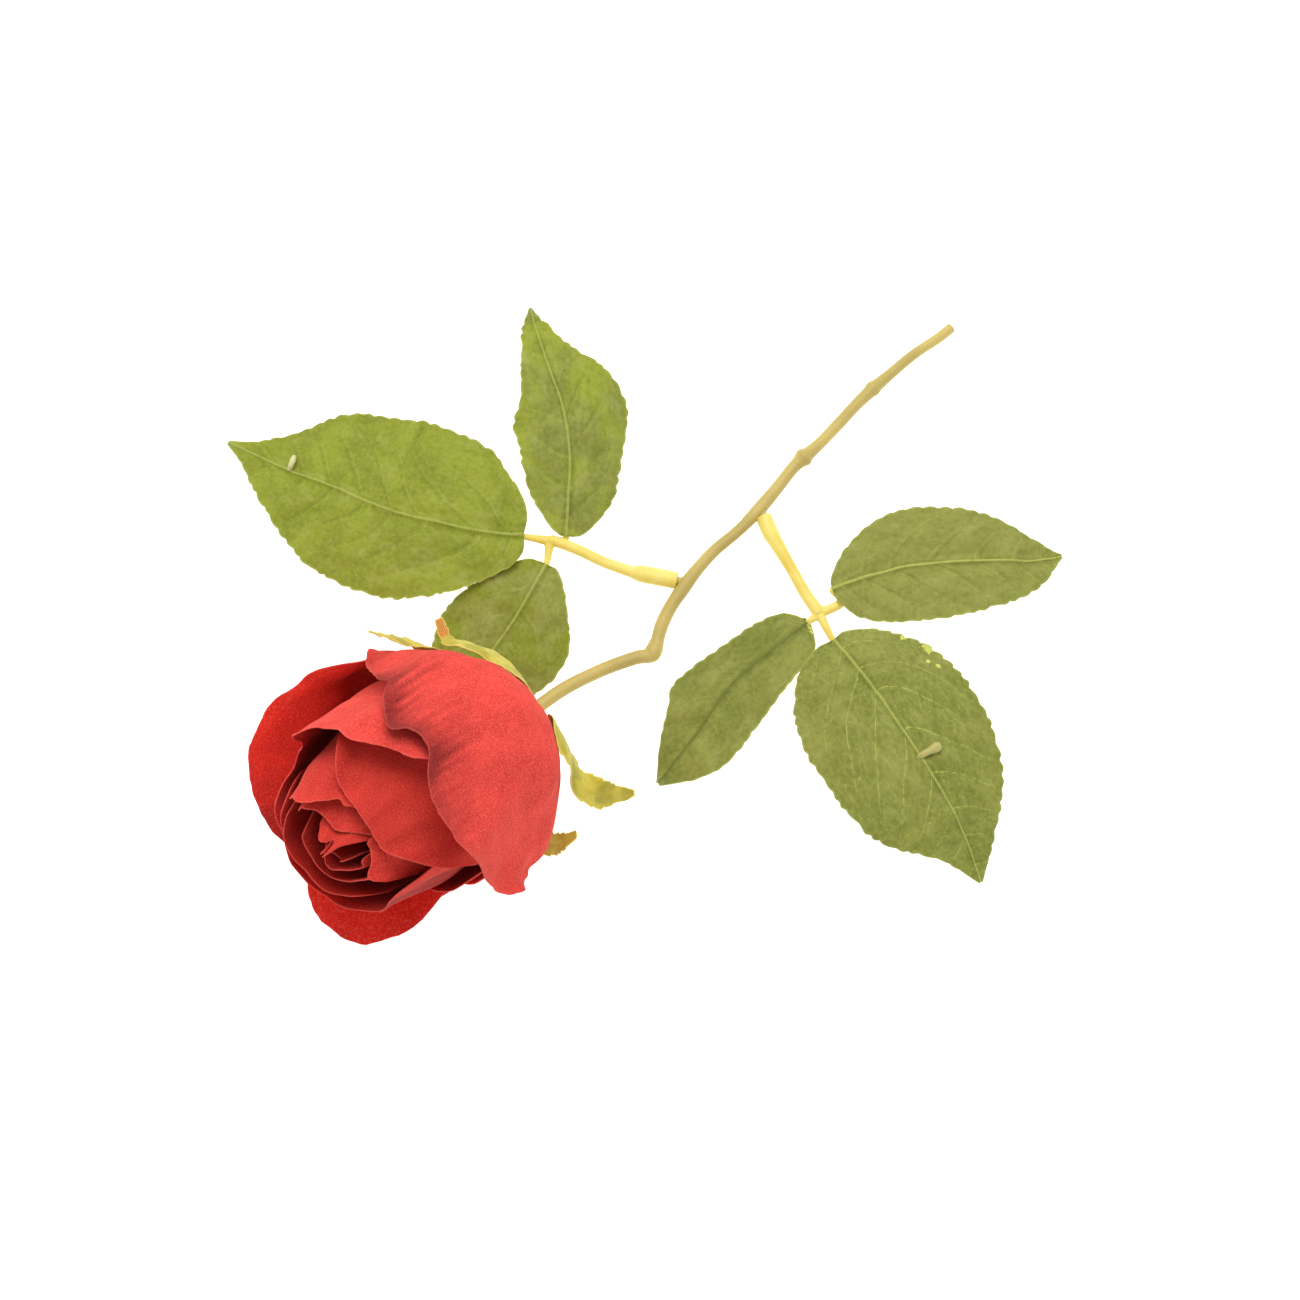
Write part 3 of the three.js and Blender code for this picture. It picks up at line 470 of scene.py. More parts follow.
def sheet_parts(points, thickness, marks):
    """Vertices, faces and marks of a closed sheet of cloth about a grid of middle points."""
    n, m = points.shape[:2]
    half = np.full((n, m, 1), thickness / 2)
    half[[0, -1]] *= CUT_EDGE
    half[1:-1, [0, -1]] *= CUT_EDGE
    step = normals_of(points) * half
    vertices = np.concatenate([(points + step).reshape(-1, 3), (points - step).reshape(-1, 3)])
    i, j = (g.ravel() for g in np.meshgrid(np.arange(n - 1), np.arange(m - 1), indexing="ij"))
    front = np.stack([i * m + j, (i + 1) * m + j, (i + 1) * m + j + 1, i * m + j + 1], 1)
    back = front[:, ::-1] + n * m
    ring = np.concatenate([
        np.arange(n) * m, (n - 1) * m + np.arange(1, m), np.arange(n - 2, -1, -1) * m + m - 1,
        np.arange(m - 2, 0, -1)])
    after = np.roll(ring, -1)
    rim = np.stack([after, ring, ring + n * m, after + n * m], 1)
    both = {name: np.concatenate([np.reshape(v, (n * m, -1))] * 2) for name, v in marks.items()}
    both["face"] = np.concatenate([np.ones((n * m, 1)), np.zeros((n * m, 1))])
    return vertices, np.concatenate([front, back, rim]), both


def tube_parts(points, sides, bore=None, rings_per_mm=1.6):
    """Vertices and faces of a closed round tube through x, y, z, radius points. bore is the radius and depth
    of a round hole in its last end."""
    points = np.array(points, float)
    count = max(4, int(np.linalg.norm(np.diff(points[:, :3], axis=0), axis=1).sum() * rings_per_mm))
    u = np.linspace(0, 1, count)
    centre = np.stack([column_at(points, k, u) for k in range(3)], 1)
    radius = column_at(points, 3, u)
    tangent = np.gradient(centre, axis=0)
    tangent /= np.linalg.norm(tangent, axis=1, keepdims=True)
    if bore:
        step = centre[-1] - tangent[-1] * np.array([[0.0], [bore[1]]])
        centre = np.concatenate([centre, step])
        radius = np.concatenate([radius, [bore[0], bore[0]]])
        tangent = np.concatenate([tangent, tangent[-1:], tangent[-1:]])
    side = np.array([0.0, 0.0, 1.0])
    rings = []
    turn = np.arange(sides) * 2 * math.pi / sides
    for c, t, r in zip(centre, tangent, radius):
        side = side - t * side.dot(t)
        side /= np.linalg.norm(side)
        other = np.cross(t, side)
        rings.append(c + r * (np.cos(turn)[:, None] * side + np.sin(turn)[:, None] * other))
    n = len(rings)
    i, j = (g.ravel() for g in np.meshgrid(np.arange(n - 1), np.arange(sides), indexing="ij"))
    k = (j + 1) % sides
    faces = np.stack([i * sides + j, i * sides + k, (i + 1) * sides + k, (i + 1) * sides + j], 1).tolist()
    faces.append(list(range(sides - 1, -1, -1)))
    faces.append(list(range((n - 1) * sides, n * sides)))
    return np.concatenate(rings), faces


def lathe_parts(profile, sides):
    """Vertices and faces of a solid turned about the Z axis from radius, height points between two on it."""
    turn = np.arange(sides) * 2 * math.pi / sides
    inner = profile[1:-1]
    rings = [np.stack([r * np.cos(turn), r * np.sin(turn), np.full(sides, z)], 1) for r, z in inner]
    vertices = np.concatenate([*rings, [[0, 0, profile[0][1]], [0, 0, profile[-1][1]]]])
    first, last = len(vertices) - 2, len(vertices) - 1
    faces = []
    for j in range(sides):
        k = (j + 1) % sides
        faces.append([first, k, j])
        for i in range(len(inner) - 1):
            faces.append([i * sides + j, i * sides + k, (i + 1) * sides + k, (i + 1) * sides + j])
        faces.append([last, (len(inner) - 1) * sides + j, (len(inner) - 1) * sides + k])
    return vertices, faces


def rounded(profile, steps=6):
    """A profile with each inner corner drawn as a short curve."""
    points = [np.array(profile[0], float)]
    for before, at, after in zip(profile, profile[1:], profile[2:]):
        before, at, after = (np.array(p, float) for p in (before, at, after))
        cut = min(0.35, 0.45 * np.linalg.norm(at - before), 0.45 * np.linalg.norm(after - at))
        a = at + (before - at) / np.linalg.norm(before - at) * cut
        b = at + (after - at) / np.linalg.norm(after - at) * cut
        for t in np.linspace(0, 1, steps):
            points.append((1 - t) ** 2 * a + 2 * t * (1 - t) * at + t * t * b)
    points.append(np.array(profile[-1], float))
    return [(float(p[0]), float(p[1])) for p in points]


# ---- objects ----------------------------------------------------------------------------------------

def design_to_frame(points):
    """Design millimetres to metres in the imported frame."""
    return (np.asarray(points, float) + ORIGIN) * MM


def bloom_axes():
    """The bloom's axes as rows: towards its upper side, round from it, and along the bloom."""
    turn, rise = math.radians(BLOOM_TURN), math.radians(BLOOM_RISE)
    along = np.array([-math.cos(rise) * math.cos(turn), -math.cos(rise) * math.sin(turn), math.sin(rise)])
    upper = np.array([math.sin(rise) * math.cos(turn), math.sin(rise) * math.sin(turn), math.cos(rise)])
    return np.stack([upper, np.cross(along, upper), along])


def bloom_to_design(points):
    """Millimetres in the bloom frame to design millimetres."""
    return np.asarray(points, float) @ bloom_axes() + BLOOM_BASE


def round_to_points(radius, angle, height):
    """Radius, angle in degrees and height in the bloom frame to x, y, z there."""
    turn = np.radians(angle)
    return np.stack(np.broadcast_arrays(radius * np.cos(turn), radius * np.sin(turn), height), -1)


def joined(parts):
    """Several (vertices, faces, marks) as one."""
    vertices, faces, marks, start = [], [], {}, 0
    for part in parts:
        vertices.append(part[0])
        faces.extend([[int(v) + start for v in f] for f in part[1]])
        for name, value in (part[2] if len(part) > 2 else {}).items():
            marks.setdefault(name, []).append(value)
        start += len(part[0])
    return np.concatenate(vertices), faces, {name: np.concatenate(v) for name, v in marks.items()}


def placed(name, data):
    """A new object in the scene."""
    thing = bpy.data.objects.new(name, data)
    bpy.context.scene.collection.objects.link(thing)
    return thing


def loose_piece(name, parts, material):
    """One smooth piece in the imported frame, tied to nothing yet."""
    vertices, faces = parts[0], parts[1]
    marks = parts[2] if len(parts) > 2 else {}
    mesh = bpy.data.meshes.new(name)
    mesh.from_pydata(np.asarray(vertices).tolist(), [], [list(map(int, f)) for f in faces])
    for mark, value in marks.items():
        width = value.shape[1]
        layer = mesh.attributes.new(mark, "FLOAT" if width == 1 else "FLOAT_VECTOR", "POINT")
        layer.data.foreach_set("value" if width == 1 else "vector", value.astype(np.float32).ravel())
    mesh.materials.append(material)
    mesh.polygons.foreach_set("use_smooth", [True] * len(mesh.polygons))
    mesh.set_sharp_from_angle(angle=math.radians(SHARP_ANGLE))
    mesh.update()
    return placed(name, mesh)


def make_piece(name, parts, material, node):
    """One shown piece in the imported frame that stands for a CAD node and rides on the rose's only body."""
    piece = loose_piece(name, parts, material)
    settle(piece, node)
    return piece


def settle(piece, node):
    """Ties a finished piece to the CAD node it stands for, and stops if it isn't where that node is."""
    bpy.context.view_layer.update()
    low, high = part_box(node)
    corners = [piece.matrix_world @ Vector(c) for c in piece.bound_box]
    for k in range(3):
        ends = [c[k] for c in corners]
        if max(abs(min(ends) - low[k]), abs(max(ends) - high[k])) > PLACE_SLACK * MM:
            raise RuntimeError(f"{piece.name} isn't where node {node} is, along axis {k}")
    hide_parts(node)
    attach(piece, BODY)


def moulded(name, tubes, material, node, grain):
    """Closed tubes run together as one moulding with small fillets, remeshed at the grain size in metres."""
    vertices, faces, _ = joined(tubes)
    mesh = bpy.data.meshes.new(name + "_rough")
    mesh.from_pydata(design_to_frame(vertices).tolist(), [], faces)
    rough = placed(name + "_rough", mesh)
    remesh = rough.modifiers.new("run together", "REMESH")
    remesh.mode = "VOXEL"
    remesh.voxel_size = grain
    remesh.use_smooth_shade = True
    soften = rough.modifiers.new("mould radius", "SMOOTH")
    soften.factor = 0.5
    soften.iterations = 5
    done = bpy.data.meshes.new_from_object(rough.evaluated_get(bpy.context.evaluated_depsgraph_get()))
    bpy.data.objects.remove(rough)
    bpy.data.meshes.remove(mesh)
    done.name = name
    done.materials.clear()
    done.materials.append(material)
    settle(placed(name, done), node)


# ---- materials --------------------------------------------------------------------------------------

# A wave texture's bands are this far apart at scale 1.
BAND_PERIOD = 0.314


def linear(hex_colour):
    """An sRGB hex colour as linear red, green, blue and alpha."""
    values = [int(hex_colour[i:i + 2], 16) / 255 for i in (1, 3, 5)]
    return (*[v / 12.92 if v <= 0.04045 else ((v + 0.055) / 1.055) ** 2.4 for v in values], 1.0)


def add(tree, kind, settings=None, **inputs):
    """Adds a node with its settings and its inputs, each a value or the socket it comes from. An input's name
    has underscores for spaces, and i0, i1 and so on name inputs by number."""
    node = tree.nodes.new(kind)
    for name, value in (settings or {}).items():
        setattr(node, name, value)
    for name, value in inputs.items():
        by_number = name[0] == "i" and name[1:].isdigit()
        socket = node.inputs[int(name[1:])] if by_number else node.inputs[name.replace("_", " ")]
        if isinstance(value, bpy.types.NodeSocket):
            tree.links.new(value, socket)
        else:
            socket.default_value = value
    return node


def blank(name):
    """A new material with an empty node tree."""
    material = bpy.data.materials.new(name)
    material.use_nodes = True
    material.node_tree.nodes.clear()
    return material, material.node_tree


def mark(tree, name, vector=False):
    """The socket of a mark that a piece's mesh carries."""
    node = add(tree, "ShaderNodeAttribute", {"attribute_name": name})
    return node.outputs["Vector" if vector else "Fac"]


def sums(tree, operation, a, b=0.0, clamp=False):
    """Result of one operation on a number or socket, or on two."""
    return add(tree, "ShaderNodeMath", {"operation": operation, "use_clamp": clamp}, i0=a, i1=b).outputs[0]


def times(tree, a, b, clamp=False):
    """Product of two numbers or sockets."""
    return sums(tree, "MULTIPLY", a, b, clamp)


def plus(tree, a, b):
    """Sum of two numbers or sockets."""
    return sums(tree, "ADD", a, b)


def ramp(tree, value, low, high, start=0.0, end=1.0):
    """A value eased from start to end as it goes from low to high."""
    return add(tree, "ShaderNodeMapRange", {"interpolation_type": "SMOOTHSTEP"}, Value=value, From_Min=low,
               From_Max=high, To_Min=start, To_Max=end).outputs[0]


def mixed(tree, share, a, b, mode="MIX"):
    """Two colours mixed by a share."""
    return add(tree, "ShaderNodeMix", {"data_type": "RGBA", "blend_type": mode, "clamp_factor": True},
               i0=share, i6=a, i7=b).outputs[2]


def tinted(tree, colour, value, low, high, share, tint):
    """A colour mixed by up to a share with a tint, as a value goes from low to high."""
    return mixed(tree, ramp(tree, value, low, high, 0.0, share), colour, tint)


def grained(tree, place, size, detail=2.0, roughness=0.5, stretch=(1, 1, 1)):
    """Noise from 0 to 1 with grains about size, in the unit of place, which may be stretched."""
    moved = add(tree, "ShaderNodeMapping", None, Vector=place, Scale=stretch).outputs[0]
    return add(tree, "ShaderNodeTexNoise", {"noise_dimensions": "3D"}, Vector=moved, Scale=1 / size,
               Detail=detail, Roughness=roughness).outputs[0]


def millimetres(tree):
    """Place on a moulded piece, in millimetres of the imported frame."""
    place = add(tree, "ShaderNodeTexCoord").outputs["Object"]
    return add(tree, "ShaderNodeVectorMath", {"operation": "SCALE"}, i0=place, Scale=1 / MM).outputs[0]


def weave(tree, cloth, thread_mm, distortion):
    """The two sets of threads of a plain weave so many millimetres apart, each a wave from 0 to 1."""
    settings = {"wave_type": "BANDS", "wave_profile": "SIN"}
    return [add(tree, "ShaderNodeTexWave", {**settings, "bands_direction": way}, Vector=cloth,
                Scale=BAND_PERIOD / thread_mm, Distortion=distortion).outputs["Fac"] for way in ("X", "Y")]


def finished(tree, colour, height, depth, invert=False, **finish):
    """Ends a material with its surface, whose relief is a height in millimetres at a depth from 0 to 1."""
    bump = add(tree, "ShaderNodeBump", {"invert": invert}, Strength=depth, Distance=MM,
               Height=height).outputs[0]
    surface = add(tree, "ShaderNodeBsdfPrincipled", None, Base_Color=colour, Normal=bump, **finish).outputs[0]
    add(tree, "ShaderNodeOutputMaterial", None, Surface=surface)


def flocked_velvet(name, outside, inside, dye_and_shade, flock_mm):
    """Polyester cloth flocked with short upright fibres: matt and deep in colour, paler where fibres are seen
    end-on or at a grazing angle, with dark airbrushed dye along some rims, painted shade along pressed
    creases and where a petal lies deep in the bloom, and a pale cut edge that partly carries a painted
    highlight."""
    material, tree = blank(name)
    cloth = mark(tree, "cloth", vector=True)
    face, rim, dye_and_shade_mark = mark(tree, "face"), mark(tree, "rim"), mark(tree, "dye_and_shade")
    # Flock is finer than this in the real cloth; it is drawn as coarse as it needs to show.
    fibre = grained(tree, cloth, flock_mm, 3.0, 0.7)
    patch = grained(tree, cloth, 6.0, 3.0, 0.6)
    # Pressed creases fan from the foot of the petal to its rim, 4 to 5 mm apart.
    crease = grained(tree, cloth, 4.5, 2.0, 0.5, (1.0, 0.14, 1.0))
    colour = mixed(tree, face, inside, outside)
    deep = mixed(tree, 1.0, colour, (0.60, 0.46, 0.46, 1), "MULTIPLY")
    pale = mixed(tree, 0.24, colour, linear("#FF9A8C"))
    colour = tinted(tree, colour, patch, 0.36, 0.66, 0.42, deep)
    # Painted shade: the colour darkens along the pressed creases.
    colour = tinted(tree, colour, crease, 0.50, 0.70, 0.22, deep)
    colour = tinted(tree, colour, fibre, 0.46, 0.70, 0.8, pale)
    colour = tinted(tree, colour, fibre, 0.50, 0.30, 0.50, deep)
    streak = ramp(tree, crease, 0.36, 0.60, 0.72, 1.0)
    grain = ramp(tree, fibre, 0.38, 0.60, 1.0, 0.78)
    # The dark rim colour goes on where the dye_and_shade mark is set: airbrushed dye along rims, and painted
    # shade on petals that lie deep in the bloom.
    share = times(tree, times(tree, dye_and_shade_mark, streak), grain, clamp=True)
    colour = mixed(tree, share, colour, dye_and_shade)
    # The pale cut edge of the cloth is about a third of a millimetre wide; it is partly the cloth's paler cut
    # edge and partly a painted highlight where the edge catches light.
    colour = tinted(tree, colour, rim, 0.34, 0.10, 0.22, linear("#F2776B"))
    height = plus(tree, times(tree, fibre, 0.10), times(tree, crease, 0.12))
    finished(tree, colour, height, 0.55, Roughness=0.92, IOR=1.5, Specular_IOR_Level=0.12,
             Sheen_Weight=0.12, Sheen_Roughness=0.45, Sheen_Tint=linear("#FF8A78"))
    return material


def printed_leaf_cloth(name, green, bright, underside, vein, vein_share, rib_share, worn_share):
    """Stiffened polyester leaf cloth: printed green in uneven patches, with paler printed veins pressed in,
    painted shade in the grooves by the veins and beside the midrib, a faint plain weave, worn specks where
    the print has rubbed off, and a pale cut edge."""
    material, tree = blank(name)
    cloth = mark(tree, "cloth", vector=True)
    face, edge, phase = mark(tree, "face"), mark(tree, "rim"), mark(tree, "phase")
    across, worn, reach = mark(tree, "across"), mark(tree, "worn"), mark(tree, "reach")
    patch = grained(tree, cloth, 11.0, 3.0)
    fleck = grained(tree, cloth, 1.1, 3.0, 0.6)
    wobble = grained(tree, cloth, 5.0, 1.0)
    colour = mixed(tree, ramp(tree, patch, 0.38, 0.64), green, bright)
    smear = grained(tree, cloth, 3.2, 4.0, 0.65, (0.5, 1.0, 1.0))
    colour = tinted(tree, colour, smear, 0.50, 0.68, 0.34, linear("#A0A45C"))
    colour = tinted(tree, colour, smear, 0.48, 0.32, 0.36, linear("#6A7424"))
    colour = tinted(tree, colour, fleck, 0.42, 0.70, 0.32, linear("#9DA04E"))
    colour = tinted(tree, colour, fleck, 0.50, 0.28, 0.34, linear("#646C22"))
    # Side veins are about 0.4 mm wide where the phase is near a half, and fade towards the leaflet's edge.
    spread = plus(tree, phase, times(tree, sums(tree, "SUBTRACT", wobble, 0.5), 0.16))
    off = sums(tree, "ABSOLUTE", sums(tree, "SUBTRACT", sums(tree, "FRACT", spread), 0.5))
    side = times(tree, ramp(tree, off, 0.032, 0.010), ramp(tree, reach, 0.92, 0.6, 0.15, 1.0))
    broken = ramp(tree, fleck, 0.40, 0.54, 0.15, 1.0)
    # Painted shade darkens the pressed groove on the tip side of each vein and the cloth beside the midrib.
    groove = sums(tree, "FRACT", plus(tree, spread, 0.40))
    groove = times(tree, ramp(tree, groove, 0.16, 0.02), ramp(tree, reach, 0.85, 0.25, 0.0, 0.34))
    beside = times(tree, ramp(tree, across, 5.5, 1.6), 0.30)
    shade = times(tree, sums(tree, "MAXIMUM", groove, beside), ramp(tree, smear, 0.62, 0.40, 0.3, 1.0))
    colour = mixed(tree, shade, colour, linear("#535E16"))
    side = times(tree, times(tree, side, broken), vein_share)
    # Finer veins make a net about 3 mm wide.
    cells = add(tree, "ShaderNodeTexVoronoi", {"feature": "DISTANCE_TO_EDGE"}, Vector=cloth, Scale=1 / 3.0)
    net = times(tree, ramp(tree, cells.outputs[0], 0.05, 0.015), 0.16 * vein_share)
    kept = ramp(tree, fleck, 0.30, 0.50, 0.75 * rib_share, rib_share)
    middle = times(tree, ramp(tree, across, 1.15, 0.5), kept)
    lines = sums(tree, "MAXIMUM", sums(tree, "MAXIMUM", side, net), middle)
    # On the folded lower right leaflet these lines take the dark crease colour, painted shade along its fold.
    colour = mixed(tree, lines, colour, vein)
    speck = ramp(tree, grained(tree, cloth, 0.55, 2.0), 0.66, 0.74, 0.0, worn_share)
    rubbed = sums(tree, "MAXIMUM", speck, ramp(tree, plus(tree, worn, fleck), 1.05, 1.25), clamp=True)
    colour = mixed(tree, rubbed, colour, linear("#CBCF66"))
    colour = tinted(tree, colour, edge, 0.50, 0.15, 0.45, linear("#AEB256"))
    pale = mixed(tree, 0.3, underside, colour)
    colour = mixed(tree, face, pale, colour)
    height = times(tree, plus(tree, *weave(tree, cloth, 0.5, 1.0)), 0.02)
    height = plus(tree, height, times(tree, fleck, 0.10))
    height = sums(tree, "SUBTRACT", height, times(tree, side, 0.12))
    finished(tree, colour, height, 0.6, Roughness=0.68, IOR=1.5, Specular_IOR_Level=0.22,
             Sheen_Weight=0.06, Sheen_Roughness=0.5)
    return material


def sepal_cloth(name, green, tip):
    """Stiffened polyester cloth dyed yellow-green, bare and brown at the tips where its plain weave shows."""
    material, tree = blank(name)
    cloth = mark(tree, "cloth", vector=True)
    face, rim, bare = mark(tree, "face"), mark(tree, "rim"), mark(tree, "bare")
    patch = grained(tree, cloth, 4.0, 3.0)
    colour = mixed(tree, ramp(tree, patch, 0.38, 0.62), green, linear("#C6B84A"))
    fine = grained(tree, cloth, 0.8, 2.0)
    colour = tinted(tree, colour, fine, 0.4, 0.7, 0.3, linear("#A29A36"))
    inner = times(tree, sums(tree, "SUBTRACT", 1.0, face), 0.45)
    colour = mixed(tree, inner, colour, linear("#A3A238"))
    browned = ramp(tree, plus(tree, bare, times(tree, patch, 0.5)), 0.75, 1.15)
    colour = mixed(tree, browned, colour, tip)
    colour = tinted(tree, colour, rim, 0.4, 0.1, 0.6, linear("#E0C86E"))
    threads = times(tree, *weave(tree, cloth, 0.45, 0.4))
    shown = times(tree, ramp(tree, threads, 0.1, 0.6), ramp(tree, bare, 0.35, 0.8))
    colour = mixed(tree, times(tree, shown, 0.5), colour, linear("#F2C274"))
    height = times(tree, threads, plus(tree, times(tree, bare, 0.16), 0.04))
    # Light from outside comes through the thin cloth onto its inner side.
    finished(tree, colour, height, 0.7, Roughness=0.7, IOR=1.5, Specular_IOR_Level=0.3, Sheen_Weight=0.1,
             Sheen_Roughness=0.5, Subsurface_Weight=0.6, Subsurface_Scale=0.8 * MM,
             Subsurface_Radius=(1.0, 1.0, 0.4))
    return material


def moulded_polyethylene(name, body, second, patch_mm, blush, through):
    """Injection-moulded polyethylene: waxy and faintly clear, satin where the mould was, with tone that
    drifts along the piece and fine scuffs."""
    material, tree = blank(name)
    place = millimetres(tree)
    drift = grained(tree, place, patch_mm, 2.0)
    fine = grained(tree, place, 0.7, 3.0, 0.6)
    colour = mixed(tree, ramp(tree, drift, 0.36, 0.66), body, second)
    colour = tinted(tree, colour, fine, 0.40, 0.72, 0.25, blush)
    height = plus(tree, times(tree, fine, 0.10), times(tree, drift, 0.2))
    finished(tree, colour, height, 0.5, Roughness=0.46, IOR=1.51, Specular_IOR_Level=0.35,
             Subsurface_Weight=through, Subsurface_Scale=0.8 * MM, Subsurface_Radius=(1.0, 0.8, 0.3))
    return material


def bud_foam(name):
    """Moulded polystyrene foam: white, matt, with packed beads about 2 mm across."""
    material, tree = blank(name)
    place = millimetres(tree)
    beads = add(tree, "ShaderNodeTexVoronoi", {"feature": "F1"}, Vector=place, Scale=1 / 2.0).outputs[0]
    colour = mixed(tree, ramp(tree, beads, 0.2, 0.8), linear("#F2EFE6"), linear("#D5CFBF"))
    finished(tree, colour, beads, 0.6, invert=True, Roughness=0.85, IOR=1.45)
    return material


def drawn_steel(name):
    """Drawn steel wire: grey and satin, with fine lines and a little oxide."""
    material, tree = blank(name)
    place = millimetres(tree)
    lines = grained(tree, place, 0.3, 2.0)
    colour = mixed(tree, ramp(tree, lines, 0.45, 0.7), linear("#9B988F"), linear("#6E655A"))
    finished(tree, colour, lines, 0.3, Metallic=1.0, Roughness=0.42)
    return material


def studio_paper(name, colour):
    """Matt white background paper with a very faint tooth."""
    material, tree = blank(name)
    tooth = grained(tree, millimetres(tree), 1.5, 2.0)
    finished(tree, colour, tooth, 0.05, Roughness=0.9, Specular_IOR_Level=0.1, Emission_Color=colour,
             Emission_Strength=0.8)
    return material


# ---- petals -----------------------------------------------------------------------------------------

# How each petal's cloth was worked: ruffle and lip are how far its rim waves and rolls outwards, in
# millimetres; dye_and_shade is [angle, half width in degrees, depth from the rim in millimetres, strength], a
# patch of the dark rim colour that is airbrushed dye along some rims and painted shade where a petal lies
# deep in the bloom, as at the end of petal_middle_4.
PETAL_WORK = {
    "petal_outer_1": {"ruffle": 0.55, "lip": 0.9, "dye_and_shade": [
        [33, 12, 10.0, 1.2], [12, 18, 8.0, 1.1], [-9, 9, 9.0, 1.0], [-30, 18, 7.0, 0.75], [60, 14, 5.0, 0.5],
        [-62, 20, 16.0, 0.28]]},
    "petal_outer_2": {"ruffle": 0.22, "lip": 0.5, "dye_and_shade": [[136, 16, 12.0, 0.5], [152, 12, 12.0, 0.6]]},
    "petal_outer_3": {"ruffle": 0.4, "lip": 0.6, "dye_and_shade": [[152, 10, 12.0, 0.2]]},
    "petal_outer_4": {"ruffle": 0.2, "lip": 0.0, "dye_and_shade": []},
    "petal_outer_5": {"ruffle": 0.2, "lip": 0.0, "dye_and_shade": []},
    "petal_middle_1": {"ruffle": 0.35, "lip": 0.5, "dye_and_shade": [[90, 10, 4.0, 0.3]]},
    "petal_middle_2": {"ruffle": 0.15, "lip": 0.2, "dye_and_shade": [[-38, 42, 60.0, 0.24]]},
    "petal_middle_3": {"ruffle": 0.15, "lip": 0.0, "dye_and_shade": []},
    # Painted shade: this petal's far end lies deep in the bloom, and the patch darkens it.
    "petal_middle_4": {"ruffle": 0.15, "lip": 0.3, "dye_and_shade": [[251, 13, 80.0, 1.8]]},
}
PLAIN_WORK = {"ruffle": 0.12, "lip": 0.15, "dye_and_shade": []}


def petal_radius(shape, angle, height):
    """Distance of a petal's middle surface from the bloom's axis."""
    belly = curve_at(shape["belly"], angle)
    low = 1 - (height - shape["start"]) / (shape["full"] - shape["start"])
    below = PETAL_HUB + (belly - PETAL_HUB) * np.sqrt(np.clip(1 - low * low, 0, None))
    high = (height - shape["full"]) / (shape["top"] - shape["full"])
    above = belly + (curve_at(shape["mouth"], angle) - belly) * high * high
    return np.where(height <= shape["full"], below, above)


def edged(count):
    """Fractions from 0 to 1 with extra steps close to both ends, for a crisp cut edge."""
    return np.concatenate([[0, 0.003, 0.008], np.linspace(0.016, 0.984, count), [0.992, 0.997, 1]])


def cut_size(points, swap=False):
    """Width, length and area, in metres, of the flat cloth that a grid of millimetre points was cut as."""
    # Cut edges wave, so the width is the middle one of the lines across and the length the longest along.
    sides = [np.median(lengths_along(points, 0)[-1]) * MM, lengths_along(points, 1).max() * MM]
    sides = sides[::-1] if swap else sides
    a, b = points[1:, 1:] - points[:-1, :-1], points[1:, :-1] - points[:-1, 1:]
    area = np.linalg.norm(np.cross(a, b), axis=-1).sum() / 2 * MM * MM
    return sides, min(area, 0.999 * sides[0] * sides[1])


def petal_parts(name, cloth_mm, step_mm, seed):
    """One petal as a closed sheet of cloth, waved and creased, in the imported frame, and its cut size."""
    shape, work = PETALS[name], PETAL_WORK.get(name, PLAIN_WORK)
    first, last = shape["rim"][0][0], shape["rim"][-1][0]
    span, centre = last - first, (first + last) / 2
    belly = float(curve_at(shape["belly"], centre))
    wide = (first + span * edged(max(24, int(math.radians(span) * belly / step_mm))))[:, None]
    part = np.concatenate([np.linspace(0, 0.986, int(62 / step_mm) - 3), [0.993, 0.9975, 1]])[None, :] ** 1.7
    arc = np.radians(wide - centre) * belly
    uneven = 0.22 * ripples(arc, 0 * arc, 2.6, seed) + 0.45 * ripples(arc, 0 * arc, 9.0, seed + 1)
    rise = curve_at(shape["rim"], wide) + uneven * work["ruffle"] * 1.6 - shape["start"]
    height = shape["start"] + rise * part
    claw = PETAL_CLAW + (1 - PETAL_CLAW) * np.sin(np.minimum(1, part / 0.45) * math.pi / 2)
    angle = centre + (wide - centre) * claw
    points = round_to_points(petal_radius(shape, angle, height), angle, height)
    up = lengths_along(points, 1)
    rim = up[:, -1:] - up
    around = lengths_along(points, 0)
    edge = np.minimum(rim, np.minimum(around, around[-1:] - around))
    across = arc * np.ones_like(up)
    wave = work["ruffle"] * ripples(across, 0.3 * up, 11.0, seed + 2) * smooth(rim, 24, 1)
    press = 0.13 * ripples(across + 0.25 * up, 0.14 * up, 6.0, seed + 3) * (0.35 + 0.65 * smooth(rim, 30, 3))
    sag = 0.42 * ripples(across, up, 15.0, seed + 4) * smooth(up, 4, 20)
    roll = work["lip"] * smooth(rim, 4.5, 0) ** 2
    points = points + normals_of(points) * ((wave + press + sag) * smooth(up, 2, 12) + roll)[..., None]
    # Patches of the dark rim colour, for airbrushed dye and for painted shade.
    dye_and_shade = np.zeros_like(up)
    for at, half, depth, strength in work["dye_and_shade"]:
        reach = depth * (1 + 0.35 * ripples(across, 0.2 * up, 3.0, seed + 5))
        dye_and_shade += strength * np.exp(-(((wide - at) / half) ** 2)) * np.exp(-((rim / reach) ** 1.4))
    marks = {
        "cloth": np.stack([across, up, np.full_like(up, seed * 41.0)], -1),
        "rim": edge, "dye_and_shade": np.clip(dye_and_shade, 0, 1),
    }
    vertices, faces, marks = sheet_parts(points, cloth_mm, marks)
    return (design_to_frame(bloom_to_design(vertices)), faces, marks), cut_size(points)


# ---- leaflets ---------------------------------------------------------------------------------------

